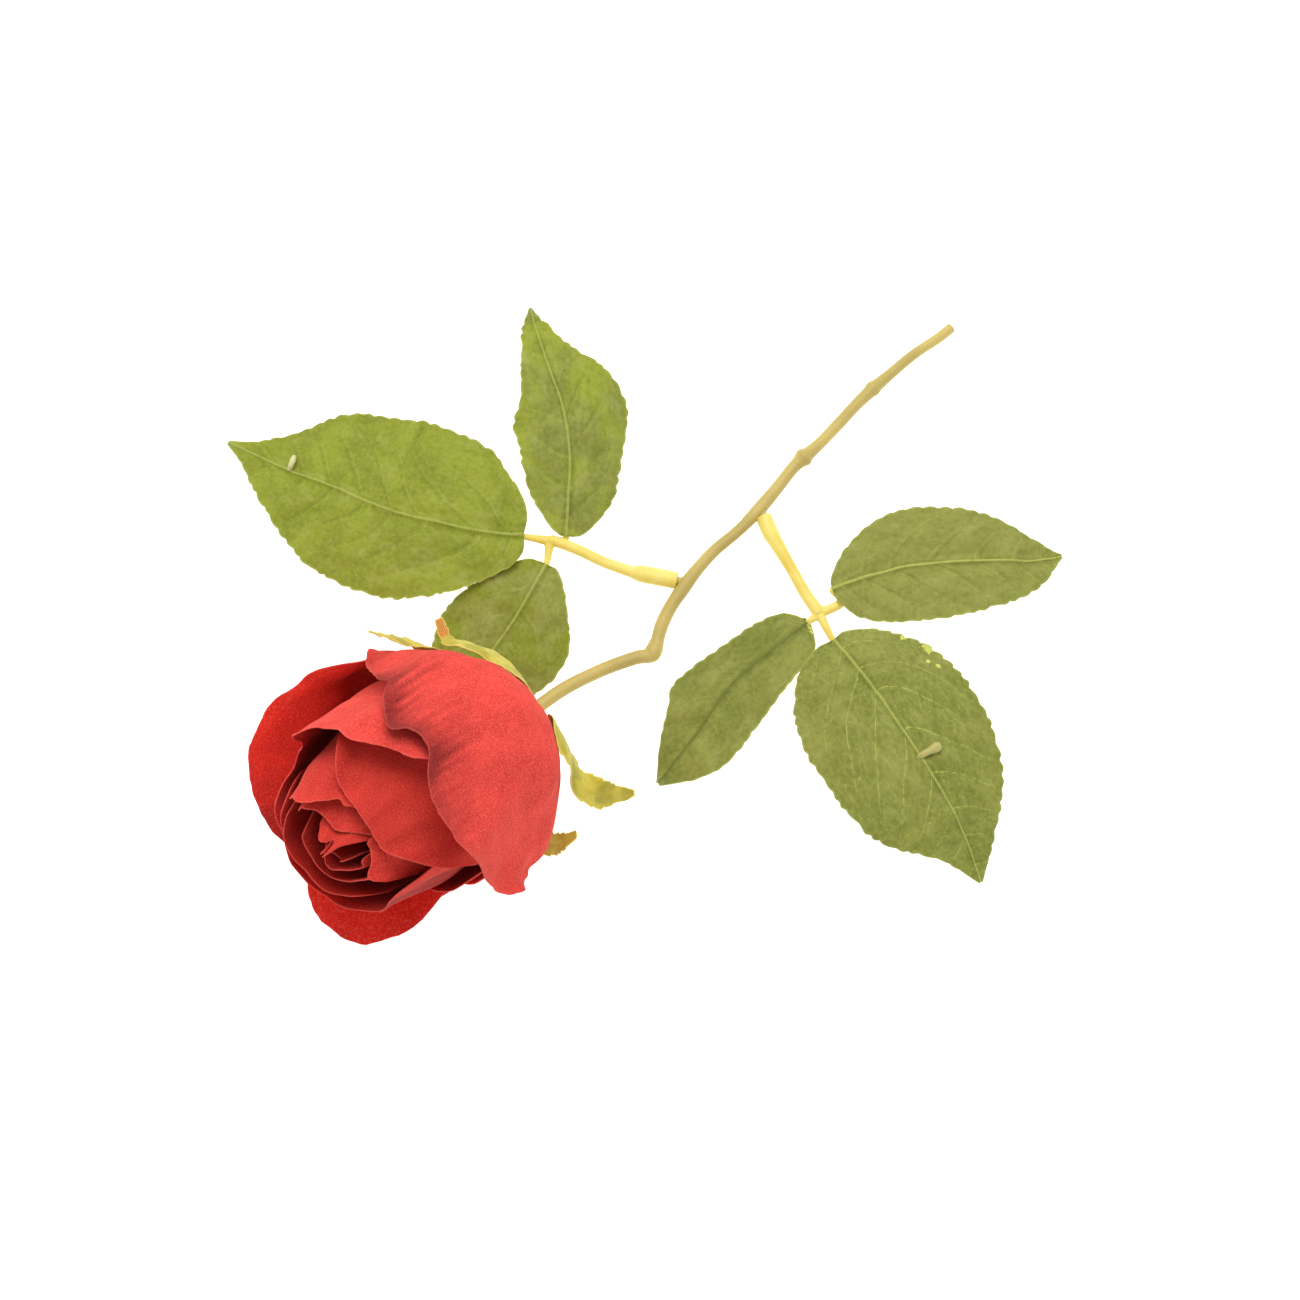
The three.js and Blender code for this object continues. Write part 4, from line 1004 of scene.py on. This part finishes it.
# How each leaflet's cloth was pressed and has worn: vein spacing and tooth depth in millimetres, fold is how
# far its halves lift, and worn spots are [fraction along, share across, radius in millimetres].
LEAF_WORK = {
    "left_leaflet_tip": {"veins": 9.5, "teeth": 0.55, "fold": 0.5, "wave": 0.8, "worn": []},
    "left_leaflet_upper": {"veins": 8.0, "teeth": 0.5, "fold": 0.7, "wave": 0.8, "worn": []},
    "left_leaflet_lower": {"veins": 8.0, "teeth": 0.4, "fold": 0.5, "wave": 0.6, "worn": []},
    "right_leaflet_tip": {"veins": 8.6, "teeth": 0.6, "fold": 0.3, "wave": 0.6, "worn": [
        [0.31, 0.97, 1.3], [0.40, 0.98, 1.9], [0.43, 0.80, 0.7], [0.46, 0.86, 0.7]]},
    "right_leaflet_upper": {"veins": 7.6, "teeth": 0.45, "fold": 0.6, "wave": 0.5, "worn": []},
    "right_leaflet_lower": {"veins": 7.6, "teeth": 0.3, "fold": 2.2, "wave": 0.9, "worn": [
        [0.02, 0.9, 2.0], [0.08, 0.97, 2.4], [0.14, 1.0, 1.6]]},
}
TOOTH_MM = 3.5


def leaf_point(leaf, u, k, out=0.0):
    """Points of a leaflet at fraction u along it and k across it, from -1 at the right edge to 1 at the left,
    with the edge pushed outwards by out, and the distances along and across it in millimetres."""
    on_right = k < 0
    rib_at = 0.35 * u + 0.325 * (column_at(leaf["left"], 0, u) + column_at(leaf["right"], 0, u))
    edge_at = np.where(on_right, column_at(leaf["right"], 0, u), column_at(leaf["left"], 0, u))
    half = np.where(on_right, column_at(leaf["right"], 1, u), column_at(leaf["left"], 1, u))
    s = rib_at + (edge_at - rib_at) * np.abs(k)
    w = (half + out * np.abs(k) ** 5) * k
    inside = np.clip(s, 0, 1)
    rib = np.stack([column_at(leaf["rib"], c, inside) for c in range(3)], -1)
    ahead, behind = np.minimum(inside + 0.02, 1), np.maximum(inside - 0.02, 0)
    step = [column_at(leaf["rib"], c, ahead) - column_at(leaf["rib"], c, behind) for c in range(2)]
    tangent = np.stack(step, -1)
    tangent /= np.linalg.norm(tangent, axis=-1, keepdims=True)
    point = rib.copy()
    point[..., :2] += tangent * (np.minimum(s, 0) * 60)[..., None]
    point[..., 0] -= tangent[..., 1] * w
    point[..., 1] += tangent[..., 0] * w
    point[..., 2] -= LEAF_DROOP * (w / 20) ** 2
    return point, s, w


def leaf_parts(name, cloth_mm, step_mm, seed):
    """One toothed, veined leaflet as a closed sheet of cloth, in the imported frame, and its cut size."""
    leaf, work = LEAFLETS[name], LEAF_WORK[name]
    rib = np.array(leaf["rib"], float)
    length = np.linalg.norm(np.diff(rib, axis=0), axis=1).sum()
    u = np.linspace(0, 1, int(length / step_mm))[:, None]
    t = np.linspace(-1, 1, 61)[None, :]
    k = np.sign(t) * np.abs(t) ** 1.5
    teeth = np.zeros((len(u), k.shape[1]))
    for side, here in ((-1.0, k < 0), (1.0, k >= 0)):
        edge = leaf_point(leaf, u, np.full((1, 1), side))[0]
        run = lengths_along(edge, 0)
        place = run / TOOTH_MM + 0.22 * ripples(run, 0 * run, 9.0, seed + int(side) + 3)
        size = 1 + 0.35 * ripples(run, 0 * run, 7.0, seed + int(side) + 8)
        shown = smooth(u, 0.06, 0.3) * smooth(u, 0.98, 0.86) * work["teeth"]
        tooth = np.sin(math.pi * (place % 1.0) ** 1.5) ** 0.7 * size - 0.5
        teeth = np.where(here, tooth * shown, teeth)
    points, s, w = leaf_point(leaf, u, k * np.ones_like(u), teeth)
    s_mm = s * length
    far = np.abs(w)
    half = np.maximum(np.abs(w[:, [0]]) * (k < 0) + np.abs(w[:, [-1]]) * (k >= 0), 0.3)
    shift = 0.22 * np.tanh(w / 3)
    phase = (s_mm - 0.62 * far - 0.028 * far * far) / work["veins"] + shift
    off = (np.abs(phase % 1.0 - 0.5)) * work["veins"]
    vein = np.exp(-((off / 0.55) ** 2)) * smooth(far / half, 0.98, 0.7)
    puff = 0.5 - 0.5 * np.cos(2 * math.pi * (phase - 0.5))
    middle = 0.38 - 0.23 * u
    lift = work["fold"] * smooth(far, 0, 14) * far / 14 - 0.16 * vein + 0.22 * puff * smooth(far, 0.8, 5)
    lift = lift + 0.22 * np.exp(-((far / (1.6 * middle)) ** 2)) - 0.32 * np.exp(-(((far - 1.6) / 1.1) ** 2))
    lift = lift + work["wave"] * ripples(s_mm, w, 24.0, seed) * smooth(far / half, 0, 1)
    lift = lift + 0.30 * ripples(s_mm, w, 7.5, seed + 1) + 0.06 * ripples(s_mm, w, 2.5, seed + 2)
    points[..., 2] += lift * smooth(u, 0, 0.05)
    worn = np.zeros_like(w)
    for along, over, size in work["worn"]:
        spot = np.hypot((u - along) * length, w - over * half)
        worn = np.maximum(worn, np.exp(-((spot / size) ** 2)))
    edge = np.minimum((half - far) * 0.9, length * (1 - u) * np.ones_like(w))
    marks = {
        "cloth": np.stack([s_mm, w, np.full_like(w, seed * 37.0)], -1),
        "rim": edge, "phase": phase, "across": far / middle, "reach": far / half, "worn": worn,
    }
    vertices, faces, marks = sheet_parts(points, cloth_mm, marks)
    return (design_to_frame(vertices), faces, marks), cut_size(points, swap=True)


# ---- stem, sprigs and calyx -------------------------------------------------------------------------

def under_rib(name, reach, joint):
    """The moulded rib under a leaflet, from the sprig's joint to fraction reach of the leaflet."""
    leaf = LEAFLETS[name]
    start = [[*joint, 1.25], RIB_BENDS[name]] if name in RIB_BENDS else [[*joint, 1.25]]
    t = np.linspace(0, 1, 7)
    rib = [column_at(leaf["rib"], c, t * reach) for c in range(3)]
    points = [[x, y, z - 1.35, 0.75 - 0.35 * f] for x, y, z, f in zip(*rib, t)]
    points[0][2] -= 0.1
    return [*start, *points]


# The stubs of the two longest ribs, which come up through slits in their leaflets: x, y, z and radius.
NIB_RIGHT = [
    [63.9, -26.6, 11.4, 0.7], [64.7, -26.2, 12.9, 0.8], [66.5, -25.3, 13.5, 0.9], [68.2, -24.4, 13.5, 1.3],
    [69.1, -23.9, 13.4, 1.0],
]
NIB_LEFT = [
    [-88.4, 47.2, 6.7, 0.6], [-87.9, 48.0, 7.9, 0.7], [-87.4, 49.3, 8.1, 0.75], [-87.1, 50.3, 8.0, 0.5],
]
# A point on the way to a rib that leaves the sprig's joint sideways before it runs under its leaflet.
RIB_BENDS = {"right_leaflet_upper": [46.6, 13.3, 7.6, 1.1]}


# How far each sepal's edge waves in millimetres, the fraction along it where it turns bare, and its twist.
SEPAL_WORK = [(0.35, 0.80, 0), (0.3, 0.97, -50), (0.75, 0.93, 0), (0.3, 0.97, 50), (0.4, 0.9, 0)]


def sepal_parts(path, index, cloth_mm, teeth_mm, ruffle, bare_from, twist):
    """One sepal as a closed sheet with a toothed, wavy edge, in the bloom frame's millimetres. It turns bare
    from a fraction of its length, and twists by so many degrees towards its tip."""
    u = np.linspace(0, 1, 110)

    def spot(v):
        return round_to_points(column_at(path, 0, v), column_at(path, 1, v), column_at(path, 2, v))

    middle = spot(u)
    forward = spot(np.minimum(u + 0.02, 1)) - spot(np.maximum(u - 0.02, 0))
    forward /= np.linalg.norm(forward, axis=1, keepdims=True)
    outward = np.stack([middle[:, 0], middle[:, 1], 0 * u], 1)
    outward /= np.linalg.norm(outward, axis=1, keepdims=True)
    outward[:, 2] = -1 + 1.1 * u
    across = np.cross(forward, outward)
    across /= np.linalg.norm(across, axis=1, keepdims=True)
    out = np.cross(across, forward)
    turn = (math.radians(twist) * smooth(u, 0.35, 0.7))[:, None]
    across, out = across * np.cos(turn) - out * np.sin(turn), out * np.cos(turn) + across * np.sin(turn)
    half = column_at(path, 3, u)
    run = lengths_along(middle, 0)
    t = np.linspace(1, -1, 23)
    k = np.sign(t) * np.abs(t) ** 0.8
    place = run / 2.6 + 0.2 * ripples(run, 0 * run, 6.0, index)
    tooth = ((place % 1.0) ** 1.5 - 0.4) * teeth_mm * smooth(u, 0.12, 0.3) * smooth(u, 1.0, 0.9)
    w = (half + tooth)[:, None] * k[None, :]
    curl = -0.10 * half[:, None] * k[None, :] ** 2 + 0.12 * np.exp(-((w / 0.5) ** 2))
    wave = ruffle * ripples(run[:, None] + 0 * w, w, 6.5, index + 20) * np.abs(k[None, :])
    wave = wave * smooth(u, 0.2, 0.45)[:, None]
    points = middle[:, None] + across[:, None] * w[..., None] + out[:, None] * (curl + wave)[..., None]
    edge = np.minimum(half[:, None] * (1 - np.abs(k[None, :])), (run[-1] - run)[:, None])
    bare = smooth(u, bare_from, bare_from + 0.12)[:, None] + 0 * w
    marks = {
        "cloth": np.stack([w, run[:, None] + 0 * w, np.full_like(w, index * 29.0)], -1),
        "rim": edge, "bare": bare,
    }
    return sheet_parts(points, cloth_mm, marks)


def star_ring_parts(sides=60):
    """The calyx star's centre: a flat ring of the same cloth round the post."""
    profile = [(3.0, -1.2), (5.6, -1.25), (5.75, -1.0), (5.6, -0.8), (3.0, -0.8)]
    turn = np.arange(sides) * 2 * math.pi / sides
    rings = np.stack([round_to_points(r, np.degrees(turn), z) for r, z in profile])
    n = len(profile)
    faces = []
    for i in range(n):
        for j in range(sides):
            a, b, k = i * sides, (i + 1) % n * sides, (j + 1) % sides
            faces.append([a + j, a + k, b + k, b + j])
    vertices = rings.reshape(-1, 3)
    one = np.ones((len(vertices), 1))
    return vertices, faces, {"cloth": vertices.copy(), "rim": one * 3, "bare": one * 0, "face": one}


# Cup with its post, and foam bud, as radius and height from one end of the axis to the other.
CUP_PROFILE = [
    (0, -4.2), (2.1, -4.2), (2.1, -8.6), (2.75, -8.6), (2.95, -8.2), (3.2, -7.2), (4.2, -5.6), (5.0, -4.0),
    (5.3, -2.9), (5.1, -2.1), (2.5, -2.0), (2.5, 29), (0, 29),
]
CORE_PROFILE = [
    (0, 30), (2.9, 30), (2.9, 20), (5.2, 20), (6.0, 23), (6.4, 27), (6.4, 31.5), (6.2, 36), (5.5, 41),
    (4.6, 45), (3.6, 48.5), (2.6, 51), (1.4, 52.5), (0, 53),
]


def turned_parts(profile, sides):
    """A lathe piece in the bloom frame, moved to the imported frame."""
    vertices, faces = lathe_parts(rounded(profile), sides)
    return design_to_frame(bloom_to_design(vertices)), faces


# ---- settings a user would change -------------------------------------------------------------------

def colour_property(label, description, default):
    """A colour setting with an sRGB hex colour as its default."""
    return FloatVectorProperty(name=label, description=description, subtype="COLOR", size=4, min=0, max=1,
                               default=linear(default))


def length_property(label, description, default, low, high):
    """A length setting in metres."""
    return FloatProperty(name=label, description=description, subtype="DISTANCE", unit="LENGTH",
                         default=default, min=low, max=high, precision=5)


class RosePetalSettings(bpy.types.PropertyGroup):
    outside: colour_property("Outside", "Flock on the outside of the petals", "#E0453C")
    inside: colour_property("Inside", "Flock on the inside of the petals", "#DC2C1E")
    # The bud colours are darker reds, painted shade for the petals that lie deep in the bloom.
    bud: colour_property("Bud outside", "Flock on the outside of the bud's petals", "#D2382D")
    bud_inside: colour_property("Bud inside", "Flock on the inside of the bud's petals", "#BE271D")
    # The rim dye colour is also painted shade on petals that lie deep in the bloom.
    dye_and_shade: colour_property("Rim dye", "Dark dye airbrushed along some rims", "#74201E")
    cloth: length_property("Cloth", "Thickness of the flocked cloth", 0.35 * MM, 0.2 * MM, 0.7 * MM)
    step: length_property("Mesh step", "Distance between points of the cloth", 0.8 * MM, 0.4 * MM, 3 * MM)
    flock: length_property("Flock grain", "Size of the flock's grain", 0.42 * MM, 0.1 * MM, 2 * MM)


class RoseLeafSettings(bpy.types.PropertyGroup):
    left_green: colour_property("Left green", "Print on the left sprig's leaflets", "#7F881E")
    left_bright: colour_property("Left bright patches", "Brighter patches of that print", "#8C9628")
    right_green: colour_property("Right green", "Print on the right sprig's leaflets", "#7B8034")
    right_bright: colour_property("Right bright patches", "Brighter patches of that print", "#888B3E")
    vein: colour_property("Veins", "Printed veins", "#A9AE54")
    # The dark crease colour is painted shade along the midrib of the folded leaflet.
    crease: colour_property("Dark crease", "Midrib of the leaflet that is folded along it", "#5C6526")
    underside: colour_property("Underside", "Unprinted underside of the cloth", "#9A9C58")
    cloth: length_property("Cloth", "Thickness of the leaf cloth", 0.3 * MM, 0.2 * MM, 0.6 * MM)
    step: length_property("Mesh step", "Distance between points along a leaflet", 0.42 * MM, 0.3 * MM, 2 * MM)


class RoseStemSettings(bpy.types.PropertyGroup):
    stem: colour_property("Stem", "Moulded stem", "#B5A158")
    stem_drift: colour_property("Stem drift", "Second tone along the stem", "#C8B265")
    sprig: colour_property("Sprig", "Moulded sprigs", "#E2C95C")
    sprig_drift: colour_property("Sprig drift", "Second tone along the sprigs", "#EEDC78")
    nib_left: colour_property("Left rib stub", "End of the rib that shows on the left leaflet", "#CFCE92")
    nib_right: colour_property("Right rib stub", "End of the rib that shows on the right leaflet", "#B5AE68")
    grain: length_property("Moulding grain", "Mesh size of the moulded pieces", 0.2 * MM, 0.12 * MM, 1 * MM)


class RoseCalyxSettings(bpy.types.PropertyGroup):
    sepal: colour_property("Sepals", "Dyed sepal cloth", "#A79C34")
    tip: colour_property("Bare tips", "Bare cloth at the sepals' tips", "#BC7A22")
    cup: colour_property("Cup", "Moulded calyx cup", "#A9A34A")
    cloth: length_property("Cloth", "Thickness of the sepal cloth", 0.3 * MM, 0.2 * MM, 0.6 * MM)
    teeth: length_property("Teeth", "Depth of the teeth along a sepal", 0.5 * MM, 0, 2 * MM)


class RoseStageSettings(bpy.types.PropertyGroup):
    paper: colour_property("Paper", "Background paper", "#FBFBFA")
    key: FloatProperty(name="Key light", description="Power of the large soft light", subtype="POWER",
                       default=6.6, min=0)
    sky: FloatProperty(name="Room light", description="Strength of the even light from all round",
                       default=0.62, min=0)
    lens: FloatProperty(name="Lens", description="Focal length in millimetres", default=100.0, min=10)


# ---- operators --------------------------------------------------------------------------------------

# The paper's half width, camera distance and the height looked at, in metres; the camera's tilt in degrees.
PAPER_HALF = 3.0
PAPER_GAP = 0.2 * MM
CAMERA_DISTANCE = 0.868
CAMERA_TILT = 75
AIM_HEIGHT = 12 * MM
# Each lamp's place from the point looked at and its width in metres, and its share of the key light's power.
LAMPS = {"key": ((0.0, 0.40, 0.85), 0.7, 1.0), "fill": ((-0.75, -0.35, 0.6), 0.9, 0.18)}


class ROSE_OT_stage(bpy.types.Operator):
    """Lays the paper, sets the soft lights and points the camera down at the rose"""
    bl_idname = "rose.stage"
    bl_label = "Stage and camera"

    def execute(self, context):
        settings = context.scene.rose_stage
        scene = context.scene
        scene.view_settings.view_transform = "Standard"
        low, high = CAD_BOX
        middle = (low + high) / 2
        mesh = bpy.data.meshes.new("paper")
        corners = [(x * PAPER_HALF, y * PAPER_HALF, 0) for x, y in ((-1, -1), (1, -1), (1, 1), (-1, 1))]
        mesh.from_pydata(corners, [], [(0, 1, 2, 3)])
        mesh.materials.append(studio_paper("matt studio paper", settings.paper))
        paper = placed("paper", mesh)
        paper.location = (middle.x, middle.y, low.z - PAPER_GAP)

        world = bpy.data.worlds.new("even room light")
        world.use_nodes = True
        world.node_tree.nodes["Background"].inputs["Color"].default_value = (1, 1, 1, 1)
        world.node_tree.nodes["Background"].inputs["Strength"].default_value = settings.sky
        scene.world = world

        aim = Vector(ORIGIN) * MM + Vector((0, 0, AIM_HEIGHT))
        for name, (place, width, share) in LAMPS.items():
            lamp = bpy.data.lights.new(name, "AREA")
            lamp.energy = settings.key * share
            lamp.shape = "SQUARE"
            lamp.size = width
            self.point(placed(name, lamp), aim, Vector(place))

        data = bpy.data.cameras.new("camera")
        data.lens = settings.lens
        data.sensor_width = 36
        data.clip_start = 0.05
        tilt = math.radians(CAMERA_TILT)
        scene.camera = placed("camera", data)
        self.point(scene.camera, aim, Vector((0, -math.cos(tilt), math.sin(tilt))) * CAMERA_DISTANCE)
        return {"FINISHED"}

    def point(self, thing, aim, away):
        """Puts a lamp or the camera at a step away from the aim, and turns it to look there."""
        thing.location = aim + away
        thing.rotation_mode = "QUATERNION"
        thing.rotation_quaternion = (-away).to_track_quat("-Z", "Y")


class ROSE_OT_stem(bpy.types.Operator):
    """Moulds the kinked stem with its collars, pegs and bored end, and draws the wire inside it"""
    bl_idname = "rose.stem"
    bl_label = "Stem and wire"

    def execute(self, context):
        settings = context.scene.rose_stem
        plastic = moulded_polyethylene("moulded stem polyethylene", settings.stem, settings.stem_drift, 14.0,
                                       linear("#A89A50"), 0.08)
        pegs = [tube_parts([[*p, 1.0] for p in peg], 16) for peg in (PEG_LEFT, PEG_RIGHT)]
        stem = tube_parts(STEM, 36, bore=(0.85, 4.0))
        moulded("stem_moulding", [stem, *pegs], plastic, "stem", settings.grain)
        wire = tube_parts([[*p[:3], 0.55] for p in STEM[3:]], 12)
        steel = drawn_steel("drawn steel wire")
        make_piece("stem_core_wire", (design_to_frame(wire[0]), wire[1]), steel, "stem_wire")
        return {"FINISHED"}


class ROSE_OT_sprigs(bpy.types.Operator):
    """Moulds the two sprigs, each a socket, a stalk and three ribs, and the rib stubs that show on top"""
    bl_idname = "rose.sprigs"
    bl_label = "Sprigs"

    def execute(self, context):
        settings = context.scene.rose_stem
        plastic = moulded_polyethylene("moulded sprig polyethylene", settings.sprig, settings.sprig_drift,
                                       9.0, linear("#DCC25A"), 0.15)
        for side, stalk, joint in (("left", LEFT_STALK, LEFT_JOINT), ("right", RIGHT_STALK, RIGHT_JOINT)):
            tubes = [tube_parts(stalk[::-1], 28, bore=SOCKET_BORE)]
            for end in ("tip", "upper", "lower"):
                tubes.append(tube_parts(under_rib(f"{side}_leaflet_{end}", 0.55, joint), 16))
            sprig = f"sprig_{side}"
            moulded(f"{sprig}_moulding", tubes, plastic, sprig, settings.grain)
        stubs = (("left", NIB_LEFT, settings.nib_left), ("right", NIB_RIGHT, settings.nib_right))
        for side, nib, tone in stubs:
            stub = moulded_polyethylene(f"stained rib stub {side}", tone, tone, 3.0, linear("#9A9252"), 0.05)
            vertices, faces = tube_parts(nib, 20, rings_per_mm=4)
            piece = loose_piece(f"rib_stub_{side}", (design_to_frame(vertices), faces), stub)
            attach(piece, BODY)
        return {"FINISHED"}


class ROSE_OT_leaflets(bpy.types.Operator):
    """Cuts, presses and prints the six leaflets"""
    bl_idname = "rose.leaflets"
    bl_label = "Leaflets"

    def execute(self, context):
        settings = context.scene.rose_leaves
        left, left_bright = settings.left_green, settings.left_bright
        right, right_bright = settings.right_green, settings.right_bright
        vein, crease = settings.vein, settings.crease
        # Print, bright patches and veins, then how much of the veins, the midrib and the wear shows.
        prints = {
            "left_leaflet_tip": (left, left_bright, vein, 0.34, 0.65, 0.12),
            "left_leaflet_upper": (right, left_bright, vein, 0.26, 0.6, 0.1),
            "left_leaflet_lower": (left, right_bright, vein, 0.26, 0.65, 0.1),
            "right_leaflet_tip": (right, right_bright, vein, 1.0, 0.75, 0.3),
            "right_leaflet_upper": (right_bright, right_bright, vein, 0.38, 0.95, 0.15),
            # The folded lower right leaflet's lines are the dark crease colour, painted shade along its fold.
            "right_leaflet_lower": (right, right_bright, crease, 0.10, 0.6, 0.1),
        }
        for seed, (name, (green, bright, *lines)) in enumerate(prints.items(), 3):
            look = f"printed leaf cloth {name}"
            cloth = printed_leaf_cloth(look, green, bright, settings.underside, *lines)
            parts, (flat, area) = leaf_parts(name, settings.cloth / MM, settings.step / MM, seed)
            piece = make_piece(f"{name}_cloth", parts, cloth, name)
        return {"FINISHED"}


class ROSE_OT_calyx(bpy.types.Operator):
    """Moulds the calyx cup with its post and cuts the star of sepals"""
    bl_idname = "rose.calyx"
    bl_label = "Calyx"

    def execute(self, context):
        settings = context.scene.rose_calyx
        plastic = moulded_polyethylene("moulded calyx polyethylene", settings.cup, settings.cup, 5.0,
                                       linear("#938C3A"), 0.08)
        make_piece("calyx_cup_moulding", turned_parts(CUP_PROFILE, 64), plastic, "calyx_cup")
        cloth = sepal_cloth("dyed sepal cloth", settings.sepal, settings.tip)
        sepals = []
        for index, (path, work) in enumerate(zip(SEPALS, SEPAL_WORK)):
            sepals.append(sepal_parts(path, index, settings.cloth / MM, settings.teeth / MM, *work))
        vertices, faces, marks = joined([star_ring_parts(), *sepals])
        parts = design_to_frame(bloom_to_design(vertices)), faces, marks
        piece = make_piece("calyx_star_cloth", parts, cloth, "calyx_star")
        return {"FINISHED"}


class ROSE_OT_core(bpy.types.Operator):
    """Moulds the foam bud that the innermost petals are wrapped round"""
    bl_idname = "rose.core"
    bl_label = "Bud core"

    def execute(self, context):
        foam = bud_foam("polystyrene bud foam")
        make_piece("bud_core_foam", turned_parts(CORE_PROFILE, 56), foam, "bud_core")
        return {"FINISHED"}


class ROSE_OT_petals(bpy.types.Operator):
    """Cuts, presses and hangs every petal round the bloom's axis"""
    bl_idname = "rose.petals"
    bl_label = "Petals"

    def execute(self, context):
        settings = context.scene.rose_petals
        grain = settings.flock / MM
        velvets = {}
        # The bud velvet, on every petal inside the outer ring but petal_middle_1, is darker as painted shade
        # for petals deep in the bloom; petal_middle_1 takes its darker inside.
        for place, outside, inside in (
            ("outer", settings.outside, settings.inside), ("middle", settings.outside, settings.bud_inside),
            ("bud", settings.bud, settings.bud_inside),
        ):
            name = f"flocked {place} petal velvet"
            velvets[place] = flocked_velvet(name, outside, inside, settings.dye_and_shade, grain)
        for seed, name in enumerate(PETALS, 2):
            ring = name.split("_")[1]
            velvet = velvets["outer" if ring == "outer" else "middle" if name == "petal_middle_1" else "bud"]
            parts, (flat, area) = petal_parts(name, settings.cloth / MM, settings.step / MM, seed)
            piece = make_piece(f"{name}_velvet", parts, velvet, name)
        return {"FINISHED"}


class ROSE_PT_panel(bpy.types.Panel):
    """Lists the rose's operators and settings"""
    bl_label = "Artificial Cut Rose"
    bl_idname = "ROSE_PT_panel"
    bl_space_type = "VIEW_3D"
    bl_region_type = "UI"
    bl_category = "Rose"

    def draw(self, context):
        for operator, group in STEPS:
            box = self.layout.box()
            box.operator(operator.bl_idname)
            if group:
                settings = getattr(context.scene, group)
                for name in type(settings).__annotations__:
                    box.prop(settings, name)


STEPS = (
    (ROSE_OT_stage, "rose_stage"),
    (ROSE_OT_stem, "rose_stem"),
    (ROSE_OT_sprigs, None),
    (ROSE_OT_leaflets, "rose_leaves"),
    (ROSE_OT_calyx, "rose_calyx"),
    (ROSE_OT_core, None),
    (ROSE_OT_petals, "rose_petals"),
)
SETTINGS = {
    "rose_petals": RosePetalSettings,
    "rose_leaves": RoseLeafSettings,
    "rose_stem": RoseStemSettings,
    "rose_calyx": RoseCalyxSettings,
    "rose_stage": RoseStageSettings,
}
CLASSES = (*SETTINGS.values(), *[step[0] for step in STEPS], ROSE_PT_panel)


def register():
    for each in CLASSES:
        bpy.utils.register_class(each)
    for name, group in SETTINGS.items():
        setattr(bpy.types.Scene, name, PointerProperty(type=group))


def unregister():
    for name in SETTINGS:
        delattr(bpy.types.Scene, name)
    for each in reversed(CLASSES):
        bpy.utils.unregister_class(each)


def main():
    """Builds the whole rose."""
    register()
    for operator, _ in STEPS:
        group, name = operator.bl_idname.split(".")
        getattr(getattr(bpy.ops, group), name)()


if __name__ == "__main__":
    main()
